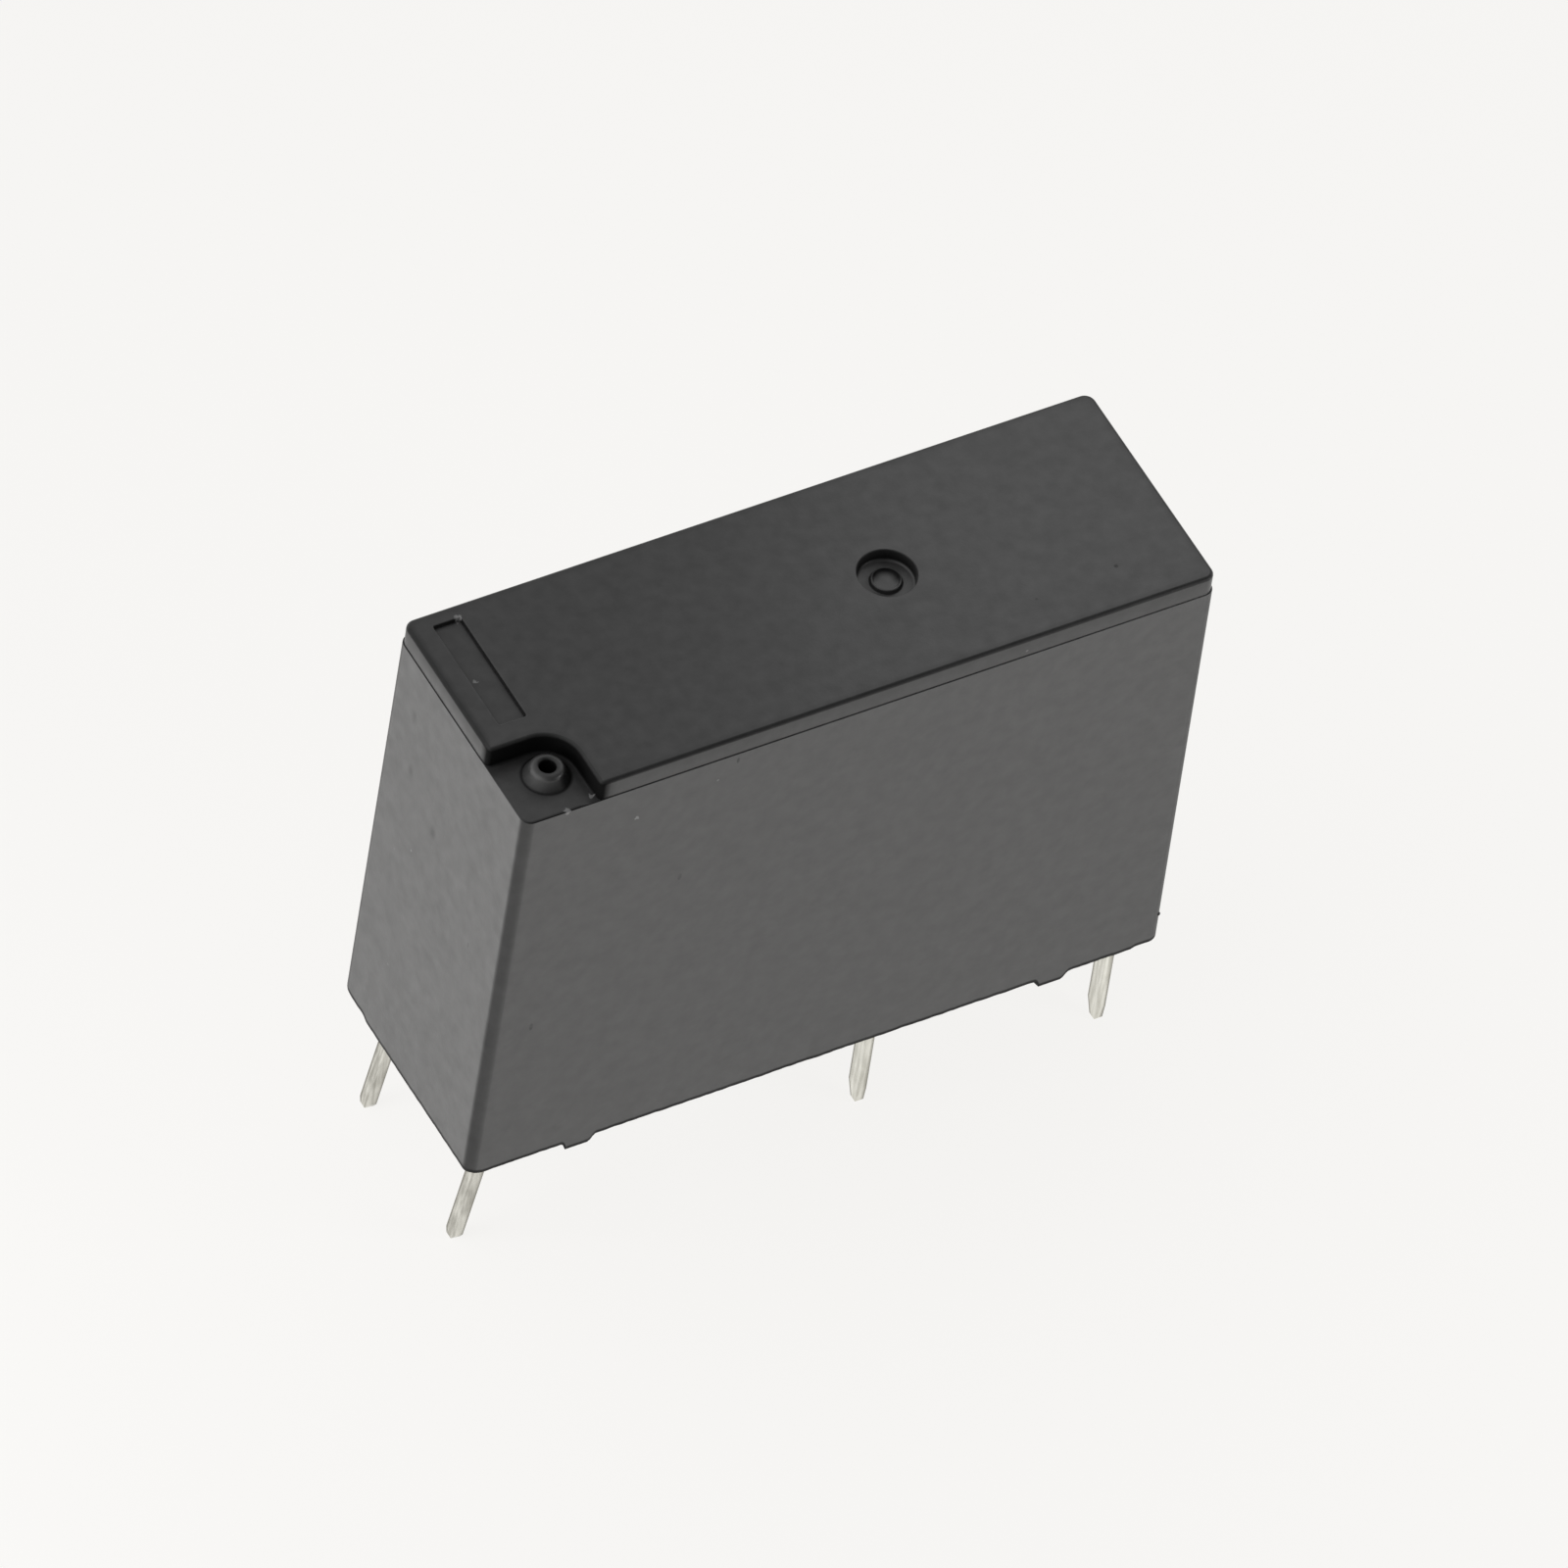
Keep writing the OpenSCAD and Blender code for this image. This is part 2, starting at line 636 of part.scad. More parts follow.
// Flat spring on the yoke's back, through the armature and over its heel
module return_spring() {
    arm_z = pivot_z + armature_t + closed_gap;
    bend = return_t + fold_r;
    bend_z = arm_z - fold_r;
    color("goldenrod") difference() {
        translate([pivot_x + fit, 0, 0]) {
            translate([0, -return_w / 2, z_yoke - return_l])
                cube([return_t, return_w, bend_z - z_yoke + return_l]);
            translate([bend, 0, bend_z]) fold(return_t, fold_r, return_w, -1, 1);
            translate([bend, -return_w / 2, arm_z]) cube([heel_l - 4 * return_t - bend, return_w, return_t]);
        }
        for (z = boss_heights()) translate([pivot_x - over, 0, z]) rotate([0, 90, 0])
            cylinder(d = boss_d + 2 * fit, h = 2 * over + return_t);
    }
}

// Iron plate that rocks on the yoke's outer top edge
module armature() {
    tip_x = core_x - armature_reach;
    plate_l = pivot_x + heel_l - tip_x;
    // Window for the return spring
    window_w = return_w + 6 * side_play;
    color("silver") at_rest() difference() {
        union() {
            translate([tip_x + plate_l / 2, 0, pivot_z])
                rounded_block(plate_l, armature_w, armature_t, armature_r);
            translate([pivot_x, -tongue_w / 2, pivot_z]) cube([heel_l + tongue_l, tongue_w, armature_t]);
        }
        translate([pivot_x - 2 * side_play, -window_w / 2, pivot_z - over])
            cube([return_t + 5 * side_play, window_w, armature_t + 2 * over]);
    }
}

// Plastic lifter on the armature's tongue, with a slot that the leaf passes through
module card() {
    grip_x = pivot_x + heel_l + fit;
    arm_z = pivot_z + grip_t / 2;
    end_x = pivot_x + bar_flat[0] + bar_r;
    leg_y = leaf_w / 2 + side_play;
    leg_w = card_w / 2 - leg_y;
    color("white") at_rest() difference() {
        union() {
            // Grip round the tongue
            translate([grip_x, -tongue_w / 2 - grip_t, pivot_z - grip_t])
                cube([tongue_l + grip_t, tongue_w + 2 * grip_t, armature_t + 2 * grip_t]);
            // Arm over the leaf
            translate([grip_x + grip_t, -card_w / 2, arm_z]) cube([end_x - grip_x - grip_t, card_w, card_t]);
            // Legs beside the leaf, and the round bar under it
            for (y = [-leg_y - leg_w, leg_y]) translate([end_x - 2 * bar_r, y, pivot_z + bar_flat[1]])
                cube([2 * bar_r, leg_w, arm_z - pivot_z - bar_flat[1]]);
            translate([pivot_x + bar_flat[0], -card_w / 2, pivot_z + bar_flat[1]]) rotate([-90, 0, 0])
                cylinder(r = bar_r, h = card_w);
        }
        translate([grip_x - over, -tongue_w / 2 - fit, pivot_z - fit])
            cube([tongue_l + over, tongue_w + 2 * fit, armature_t + 2 * fit]);
    }
}

// Contact blade: pin, plate over the base and a tab folded along X (-1 back, 1 forward) under z_tab
module contact_terminal(x, z_tab, tab_reach, side) {
    z_plate = z_floor + fit;
    bend = blade_t + fold_r;
    // Middle of the fold, and where the tab ends
    fold_x = x + side * (bend - blade_t / 2);
    end_x = x + side * (tab_reach - blade_t / 2);
    translate([x, -row_y, z_plate])
        pin(blade_t, blade_w, pin_reach + z_plate, tip_l, tip_cut, 4 * tip_cut);
    translate([x - blade_t / 2, -row_y - blade_w / 2, z_plate])
        cube([blade_t, plate_w, z_tab - bend - z_plate]);
    translate([fold_x, 0, z_tab - bend]) fold(blade_t, fold_r, tab_w, -side, 1);
    translate([min(fold_x, end_x), -tab_w / 2, z_tab - blade_t])
        cube([abs(end_x - fold_x), tab_w, blade_t]);
}

module moving_terminal() {
    tab_z = z_leaf - fit - blade_t;
    color("gainsboro") difference() {
        contact_terminal(moving_x, tab_z + blade_t, tab_l, 1);
        for (y = [-1, 1]) translate([rivet_x, y * rivet_y, tab_z - over])
            cylinder(d = rivet_d + 2 * fit, h = blade_t + 2 * over);
    }
}

// Tapered leaf with its contact's hole and two rivet holes
module moving_spring() {
    color("goldenrod") translate([moving_x, 0, z_leaf]) difference() {
        linear_extrude(leaf_t) polygon([
            [0, -leaf_w / 2], [bar_reach + bar_r, -leaf_w / 2], [leaf_l, -leaf_tip_w / 2],
            [leaf_l, leaf_tip_w / 2], [bar_reach + bar_r, leaf_w / 2], [0, leaf_w / 2]
        ]);
        translate([contact_x - moving_x, 0, -over]) cylinder(d = shank_d + 2 * fit, h = leaf_t + 2 * over);
        for (y = [-1, 1]) translate([rivet_x - moving_x, y * rivet_y, -over])
            cylinder(d = rivet_d + 2 * side_play, h = leaf_t + 2 * over);
    }
}

// Domed contact head over the leaf, shank through it and formed head below
module moving_contact() {
    color("lightgray") translate([contact_x, 0, z_leaf]) {
        intersection() {
            translate([0, 0, leaf_t]) cylinder(d = contact_d, h = contact_h);
            translate([0, 0, dome_z]) sphere(dome_r);
        }
        translate([0, 0, -fit]) cylinder(d = shank_d, h = leaf_t + contact_h / 2 + fit);
        translate([0, 0, -fit - formed_h]) cylinder(d = shank_d + 2 * formed_h, h = formed_h);
    }
}

// Two rivets that hold the leaf on the moving terminal's tab
module spring_rivets() {
    tab_z = z_leaf - fit - blade_t;
    head_z = z_leaf + leaf_t + rivet_play;
    color("silver") for (y = [-1, 1]) translate([rivet_x, y * rivet_y, 0]) {
        translate([0, 0, tab_z - formed_h]) cylinder(d = rivet_d, h = head_z - tab_z + formed_h);
        translate([0, 0, tab_z - formed_h - fit]) cylinder(d = rivet_head_d, h = formed_h);
        translate([0, 0, head_z]) cylinder(d = rivet_head_d, h = formed_h);
    }
}

module fixed_terminal() {
    tab_reach = fixed_x + blade_t / 2 - contact_x + contact_d / 2;
    color("gainsboro") difference() {
        contact_terminal(fixed_x, z_fixed_tab + blade_t, tab_reach, -1);
        translate([contact_x, 0, z_fixed_tab - over])
            cylinder(d = shank_d + 2 * fit, h = blade_t + 2 * over);
    }
}

// Flat contact head under the tab, shank through it and formed head on top
module fixed_contact() {
    color("lightgray") translate([contact_x, 0, z_fixed]) {
        cylinder(d = contact_d, h = fixed_h - fit);
        cylinder(d = shank_d, h = fixed_h + blade_t + formed_h);
        translate([0, 0, fixed_h + blade_t + fit]) cylinder(d = shank_d + 2 * formed_h, h = formed_h);
    }
}

case();
base();
sealing_resin();
bobbin();
coil_winding();
coil_lead_front();
coil_lead_rear();
coil_terminal_front();
coil_terminal_rear();
core();
yoke();
return_spring();
armature();
card();
moving_terminal();
moving_spring();
moving_contact();
spring_rivets();
fixed_terminal();
fixed_contact();
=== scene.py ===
"""Looks of the PCB power relay: a moulded black case on tinned pins, in a white light tent."""

import math

import bmesh
import bpy
from mathutils import Matrix, Vector, noise


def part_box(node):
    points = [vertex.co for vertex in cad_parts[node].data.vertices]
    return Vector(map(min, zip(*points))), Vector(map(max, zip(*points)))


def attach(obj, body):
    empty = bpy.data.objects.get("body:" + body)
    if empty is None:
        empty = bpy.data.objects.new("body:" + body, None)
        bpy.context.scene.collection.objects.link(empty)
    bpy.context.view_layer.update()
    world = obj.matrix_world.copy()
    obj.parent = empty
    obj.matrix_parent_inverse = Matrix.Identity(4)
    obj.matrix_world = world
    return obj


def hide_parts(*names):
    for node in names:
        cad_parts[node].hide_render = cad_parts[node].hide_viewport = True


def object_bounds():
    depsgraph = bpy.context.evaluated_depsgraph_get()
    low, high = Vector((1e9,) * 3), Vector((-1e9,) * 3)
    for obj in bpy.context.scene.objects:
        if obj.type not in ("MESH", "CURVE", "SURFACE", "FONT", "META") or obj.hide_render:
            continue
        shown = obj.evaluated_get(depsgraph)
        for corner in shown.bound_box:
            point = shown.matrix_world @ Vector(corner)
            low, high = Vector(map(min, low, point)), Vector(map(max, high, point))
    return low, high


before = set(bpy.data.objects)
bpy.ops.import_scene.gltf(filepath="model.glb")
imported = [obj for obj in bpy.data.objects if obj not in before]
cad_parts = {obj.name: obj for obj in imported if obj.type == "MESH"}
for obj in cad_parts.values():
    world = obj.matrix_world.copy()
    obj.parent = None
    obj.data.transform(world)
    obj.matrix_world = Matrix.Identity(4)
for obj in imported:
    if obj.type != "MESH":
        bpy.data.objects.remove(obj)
cad_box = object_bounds()

# Millimetres in Blender's metres
MM = 0.001

# Camera, fitted to the photograph: angles in degrees, lengths in millimetres
VIEW_AZIMUTH = -35.335
VIEW_ELEVATION = 48.637
VIEW_ROLL = 9.257
VIEW_DISTANCE = 771.87
VIEW_AIM = (0.1975, 0.1472, 7.2063)
FIELD_OF_VIEW = 3.0

# Case, as in the CAD model
case_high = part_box("case")[1] / MM
HALF_L = case_high.x
HALF_W = case_high.y
Z_TOP = case_high.z
WALL = 0.5
CORNER_R = 0.3
INNER_CORNER_R = 0.04
FOOT_H = 0.25
FOOT_W = 0.65
FOOT_X = 7.0
BAND_STEP = 0.03
BAND_H = 0.62
TOP_WALL = 0.75
Z_BAND = Z_TOP - BAND_H
Z_CEILING = Z_TOP - TOP_WALL
END_DRAFT = math.radians(0.6)
STEP_HALF_L = HALF_L - (Z_BAND - FOOT_H) * math.tan(END_DRAFT)
Z_LOW_CEILING = Z_BAND - WALL

# Reliefs in the skirt edge, and the coil end's lift: length, height and width of the slope
FAR_RELIEF = (1.3, 0.2, 0.35)
NEAR_RELIEF = (0.8, 0.05, 0.12)
COIL_END_LIFT = (0.45, 0.09, 0.35)
# Turn that ends the far relief
FAR_TURN_R = 0.5
# Wavy trim of the skirt edge: height, waves for each millimetre, and place in the noise
TRIM_WAVES = [(0.015, 1.3, 3.1), (0.02, 5.0, 7.7)]
# Widths of the feet's steep and sloped sides
FOOT_SLOPES = (0.1, 0.22)

# Vent pocket and nub
POCKET_REACH = 2.15
POCKET_X = -STEP_HALF_L + POCKET_REACH
POCKET_Y = -HALF_W + POCKET_REACH
POCKET_R = 0.93
NUB_INSET = 1.3
NUB_X = -STEP_HALF_L + NUB_INSET
NUB_Y = -HALF_W + NUB_INSET
NUB_R = 0.6
NUB_TIP_R = 0.4
NUB_H = 0.4
VENT_R = 0.225

# Coil-end mark and moulding gate
MARK_X = (-STEP_HALF_L + 0.68, -STEP_HALF_L + 1.49)
MARK_Y = (HALF_W - 4.08, HALF_W - 0.47)
MARK_DEPTH = 0.12
MARK_CORNER_R = 0.06
MARK_FLOOR_INSETS = (0.01, 0.04)
GATE_X = 2.23
GATE_R = 0.8
GATE_DEPTH = 0.35
STUB_R = 0.43
STUB_H = 0.12
# How much the dimple and the stub narrow from one end to the other
GATE_DRAFT = 0.02
# Hollow that the break left in the stub: radius and depth
STUB_HOLLOW = [(0.36, 0.0), (0.32, 0.06), (0.16, 0.07), (0.05, 0.06)]

# Where the pins leave the sealing resin
PIN_PLACES = [(-9.085, -2.4), (-9.085, 2.4), (2.235, -2.4), (9.375, -2.4)]

# Rib under the top that stops the armature
STOP_X = (-6.467, -5.967)
STOP_Y = (-1.2, 1.2)
STOP_Z = 12.955

# Light nicks with their radii, dark scuffs, and a burr on an upright edge
NICKS = [
    ((-8.84, -3.45, 14.13), 0.12), ((-8.05, -3.2, 14.1), 0.08), ((-8.69, 3.0, 14.7), 0.12),
    ((-9.25, 1.0, 14.6), 0.09), ((-6.72, -3.46, 12.9), 0.08),
]
DARK_SCUFFS = [(-10.2, 1.96, 10.47), (-10.2, 0.54, 9.6), (-10.2, 2.19, 12.33)]
BURR = (10.13, -3.37, 1.28)
BURR_R = 0.06
BURR_TURNS = [math.pi / 6 * k for k in range(12)]
# Width and reach along the burr, as shares of its radius
BURR_PROFILE = [(1.0, 0.0), (0.92, 0.38), (0.71, 0.71), (0.38, 0.92)]

# Roundings
TOP_EDGE_R = 0.1
POCKET_EDGE_R = 0.1
POCKET_CORNER_R = 0.12
POCKET_FILLET_R = 0.08
SKIRT_EDGE_R = 0.06
LEDGE_R = 0.015
FINE_R = 0.03
ARC_STEPS = 8
# Strip of a flat face beside its edges, which keeps the rest of the face evenly lit
LAND = 0.003
# Shaded margin of the top: along the sides, at the pocket's mouth, and what it gains further in
TOP_MARGIN = 0.25
MOUTH_MARGIN = 0.015
INNER_MARGIN = 0.15
MARGIN_START = 0.15
MARGIN_FADE = 0.4
# Foot of the band, and the stretches over which the pocket's form goes over to the sides
BAND_FOOT_R = 0.005
FILLET_FADE = 0.2
POCKET_FADE = 0.3

# Painted shade along the profiles, ring by ring, from the strip beside a face to the next face: darker in
# the pocket, round the nub, in the recesses and along edges
POCKET_SHADES = [0.1] + [0.5, 0.7, 0.9, 1.0, 1.0] + [1.0, 1.0, 0.9, 0.75, 0.6, 0.45, 0.3] + [0.15, 0.0]
NEAR_SHADES = [0.0] + [0.1, 0.1, 0.0, 0.0, 0.0] + [0.2, 0.5, 0.6, 0.65, 0.6, 0.5, 0.4] + [0.15, 0.0]
LEFT_SHADES = [0.6] + [0.8, 0.6, 0.4, 0.2, 0.0] + [0.4, 0.7, 0.8, 0.8, 0.7, 0.55, 0.45] + [0.35, 0.0]
BACK_SHADES = [0.5] + [0.8, 0.6, 0.3, 0.1, 0.0] + [0.1, 0.2, 0.3, 0.3, 0.3, 0.25, 0.2] + [0.1, 0.0]
NUB_SHADES = [0.2] + [0.8, 0.8, 0.7, 0.55, 0.4] + [0.25, 0.1, 0.1, 0.0, 0.0, 0.0, 0.0]
NUB_SHADES += [0.2, 0.4, 0.6, 0.8, 0.95] + [1.0]
MARK_SHADES = [0.0] + [0.0, 0.2, 0.5, 0.8, 0.9] + [0.7, 0.0]
GATE_SHADES = [0.0] + [0.1, 0.3, 0.5, 0.6, 0.7] + [0.9, 0.8, 0.4, 0.1, 0.0]
GATE_SHADES += [0.0, 0.2, 0.3, 0.3, 0.3] + [0.3, 0.3, 0.3, 0.4, 0.6] + [1.0, 0.8, 0.1, 0.0]
UPRIGHT_SHADE = 0.65
# Painted shade: a dark line over the skirt edge, and darker on the step and along the pocket floor's rim
SKIRT_SHADE = 0.8
SKIRT_LINE_H = 0.06
STEP_SHADE = 0.05
LEFT_STEP_SHADE = 0.55
RIM_SHADE = 0.1
NEAR_RIM_SHADE = 0.8
RIM_PAINTED_SHADE_W = 0.1
STEP_PAINTED_SHADE_W = 0.005
RIM_PAINTED_SHADE_START = -0.55

# Points along the walls and the band, and round what is turned
WALL_STEPS = (280, 90)
BAND_STEPS = (90, 30)
LATHE_TURNS = [2 * math.pi / 64 * k for k in range(64)]
# Direction from a turned form's middle to its shaded side
SHADED_TURN = math.radians(60)

# Resin: grid of its mesh, creep up the walls and the pins with its reach, and waves
RESIN_GRID = 0.1
WALL_CREEP = 0.06
PIN_CREEP = 0.1
CREEP_REACH = 0.25
RESIN_WAVES = 0.015

# Tone of the surroundings that the camera sees, and the share of its own glow in the table's
BACKDROP_TONE = 0.95
TABLE_GLOW = 0.87


# Mesh building

class MeshBuilder:
    """Rings of points in millimetres, and the faces between them."""

    def __init__(self):
        self.bm = bmesh.new()
        self.shade = self.bm.verts.layers.float.new("shade")

    def ring(self, points, shade=0.0):
        """Vertices at the points, with how much painted shade lies in that place."""
        made = [self.bm.verts.new(Vector(p) * MM) for p in points]
        values = shade if isinstance(shade, list) else [shade] * len(made)
        for vertex, value in zip(made, values):
            vertex[self.shade] = value
        return made

    def bridge(self, ring_a, ring_b):
        count = len(ring_a)
        for i in range(count):
            j = (i + 1) % count
            self.bm.faces.new((ring_a[i], ring_a[j], ring_b[j], ring_b[i]))

    def loft(self, rings, shades=None):
        """Skin through rings of points. Returns the first and the last ring's vertices."""
        made = [self.ring(points, shade) for points, shade in zip(rings, shades or [0.0] * len(rings))]
        for ring_a, ring_b in zip(made, made[1:]):
            self.bridge(ring_a, ring_b)
        return made[0], made[-1]

    def fill(self, *rings):
        """Flat face inside the first ring, with the other rings as holes."""
        edges = []
        for ring in rings:
            for a, b in zip(ring, ring[1:] + ring[:1]):
                edges.append(self.bm.edges.get((a, b)) or self.bm.edges.new((a, b)))
        bmesh.ops.triangle_fill(self.bm, use_beauty=True, edges=edges)

    def object(self, name, material, sharp_angle=40):
        """New object of the mesh, smooth apart from its creases, with flat faces kept flat."""
        bmesh.ops.recalc_face_normals(self.bm, faces=self.bm.faces)
        mesh = bpy.data.meshes.new(name)
        self.bm.to_mesh(mesh)
        self.bm.free()
        mesh.materials.append(material)
        made = bpy.data.objects.new(name, mesh)
        bpy.context.scene.collection.objects.link(made)
        shade_smooth(made, sharp_angle)
        return made


def shade_smooth(piece, sharp_angle):
    """Smooth shading that keeps creases above the angle and flat faces flat."""
    mesh = piece.data
    mesh.polygons.foreach_set("use_smooth", [True] * len(mesh.polygons))
    mesh.set_sharp_from_angle(angle=math.radians(sharp_angle))
    weighted = piece.modifiers.new("weighted", "WEIGHTED_NORMAL")
    weighted.keep_sharp = True


def outline(corners):
    """Points and outward normals round a right-angled outline, against the clock.

    A corner is (x, y, radius, steps along the side after it).
    """
    points = []
    for i, (x, y, radius, steps) in enumerate(corners):
        corner = Vector((x, y))
        last = corners[i - 1]
        following = corners[(i + 1) % len(corners)]
        to_last = (Vector(last[:2]) - corner).normalized()
        to_next = (Vector(following[:2]) - corner).normalized()
        hollow = to_next.cross(to_last) < 0
        centre = corner + (to_last + to_next) * radius
        for step in range(ARC_STEPS + 1):
            turn = math.pi / 2 * step / ARC_STEPS
            inward = to_next * math.cos(turn) + to_last * math.sin(turn)
            points.append((centre - inward * radius, inward if hollow else -inward))
        start = corner + to_next * radius
        end = Vector(following[:2]) - to_next * following[2]
        normal = Vector((to_next.y, -to_next.x))
        points += [(start.lerp(end, k / steps), normal) for k in range(1, steps)]
    return points


def rectangle(x, y, radius, steps=(1, 1)):
    """Corners of a rectangle between two limits along x and along y."""
    return [
        (x[0], y[0], radius, steps[0]), (x[1], y[0], radius, steps[1]),
        (x[1], y[1], radius, steps[0]), (x[0], y[1], radius, steps[1]),
    ]


def flat_ring(points, inset, z):
    """Outline moved inwards, at one height."""
    return [(*(point - normal * inset), z) for point, normal in points]


def lathe(x, y, profile):
    """Rings about the upright axis through x, y, for a profile of (radius, height)."""
    return [[(x + r * math.cos(t), y + r * math.sin(t), z) for t in LATHE_TURNS] for r, z in profile]


def far_sides():
    """For each point of a lathed ring, 1 on its far right half and 0 on the other."""
    return [smooth_step(math.cos(t - SHADED_TURN) + 0.5) for t in LATHE_TURNS]


def quarter(steps=4):
    """What is left of a unit radius, across and along, through the steps of a quarter turn."""
    turns = [math.pi / 2 * k / steps for k in range(steps + 1)]
    return [(1 - math.sin(t), 1 - math.cos(t)) for t in turns]


def smooth_step(x):
    x = min(1.0, max(0.0, x))
    return x * x * (3 - 2 * x)


# Case

def skirt_height(x, y):
    """Height of the skirt's lower edge over the board: reliefs, a lifted end, wavy trim and feet."""
    from_far = max(x + HALF_L, HALF_W - y)
    from_near = max(HALF_L - x, y + HALF_W)
    far_length, far_height, far_slope = FAR_RELIEF
    near_length, near_height, near_slope = NEAR_RELIEF
    lift_length, lift_height, lift_slope = COIL_END_LIFT
    coil_end = lift_height * smooth_step((lift_length - x - HALF_L) / lift_slope)
    far = far_height * smooth_step((far_length - from_far) / far_slope + 0.5)
    turn = min(FAR_TURN_R, max(0.0, FAR_TURN_R - from_far))
    height = FOOT_H + max(coil_end, far) + FAR_TURN_R - math.sqrt(FAR_TURN_R ** 2 - turn ** 2)
    height += near_height * smooth_step((near_length - from_near) / near_slope + 0.5)
    for wave_height, pitch, place in TRIM_WAVES:
        height += wave_height * noise.noise(Vector((x * pitch, y * pitch, place)))
    if abs(y) > HALF_W - WALL - SKIRT_EDGE_R:
        for middle in (-FOOT_X, FOOT_X):
            steep_side = smooth_step((x - middle + FOOT_W / 2) / FOOT_SLOPES[0] + 1)
            sloped_side = smooth_step((middle + FOOT_W / 2 - x) / FOOT_SLOPES[1] + 1)
            height *= 1 - min(steep_side, sloped_side)
    return height


def skirt_ring(points, inset, lift):
    """Outline moved inwards, at a height over the skirt's lower edge."""
    ring = []
    for point, normal in points:
        x, y = point - normal * inset
        ring.append((x, y, skirt_height(x, y) + lift))
    return ring


def wall_rings():
    """Rings and shades: inside of the case from its ceiling down, round the skirt and up to the step."""
    half_l, half_w = STEP_HALF_L - WALL, HALF_W - WALL
    inner = outline(rectangle((-half_l, half_l), (-half_w, half_w), INNER_CORNER_R, WALL_STEPS))
    foot = outline(rectangle((-HALF_L, HALF_L), (-HALF_W, HALF_W), CORNER_R, WALL_STEPS))
    head = outline(rectangle((-STEP_HALF_L, STEP_HALF_L), (-HALF_W, HALF_W), CORNER_R, WALL_STEPS))
    rings = [flat_ring(inner, 0, Z_LOW_CEILING)]
    rings += [skirt_ring(inner, -SKIRT_EDGE_R * b, SKIRT_EDGE_R * a) for a, b in quarter()]
    rings += [skirt_ring(foot, SKIRT_EDGE_R * a, SKIRT_EDGE_R * b) for a, b in quarter()]
    shades = [1.0] * (len(rings) - 1) + [SKIRT_SHADE]
    # Painted shade: a dark line over the edge, then the plain wall between upright edges that are painted
    # darker
    uprights = [
        UPRIGHT_SHADE * smooth_step(abs(normal.y) / 0.35) * abs(normal.x) ** 0.7 for point, normal in foot
    ]
    for lift, shade in ((SKIRT_LINE_H, SKIRT_SHADE), (2 * SKIRT_LINE_H, uprights)):
        rings.append(skirt_ring(foot, lift * math.tan(END_DRAFT), SKIRT_EDGE_R + lift))
        shades.append(shade)
    rings += [flat_ring(head, LEDGE_R * b, Z_BAND - LEDGE_R * a) for a, b in quarter()]
    rings.append(flat_ring(head, LEDGE_R + LAND, Z_BAND))
    # Painted shade along the rim, wide on the pocket's floor and narrow on the step
    widths = [
        towards_sides(point, RIM_PAINTED_SHADE_W, LEDGE_R + STEP_PAINTED_SHADE_W, RIM_PAINTED_SHADE_START) for point, normal in head
    ]
    rings.append([(*(point - normal * width), Z_BAND) for (point, normal), width in zip(head, widths)])
    ledge = [
        towards_sides(point, 0.0, STEP_SHADE + LEFT_STEP_SHADE * max(0.0, -normal.x))
        for point, normal in head
    ]
    rim = [
        towards_sides(point, RIM_SHADE + NEAR_RIM_SHADE * max(0.0, -normal.y), value)
        for (point, normal), value in zip(head, ledge)
    ]
    return rings, shades + [uprights] + [rim] * 5 + [ledge]


def pocketed_corners(half_l, half_w, pocket, radius, steps=(1, 1)):
    """Corners of a rectangle with the vent pocket's corner, at x, y, cut out of it."""
    x, y, pocket_corner_r, pocket_r = pocket
    return [
        (x, -half_w, pocket_corner_r, steps[0]), (half_l, -half_w, radius, steps[1]),
        (half_l, half_w, radius, steps[0]), (-half_l, half_w, radius, steps[1]),
        (-half_l, y, pocket_corner_r, 4), (x, y, pocket_r, 4),
    ]


def towards_sides(point, pocket_value, side_value, start=0.1):
    """Value that goes over from the vent pocket to the outer sides, from a start beyond its wall."""
    away = max(point.x - POCKET_X, point.y - POCKET_Y)
    return pocket_value + (side_value - pocket_value) * smooth_step((away - start) / POCKET_FADE)


def side_shade(normal, near, left, back):
    """Shade on the side that a normal points to: near, left, or far and right."""
    value = near + (left - near) * smooth_step(-normal.x)
    return value + (back - value) * smooth_step(max(normal.x, normal.y))


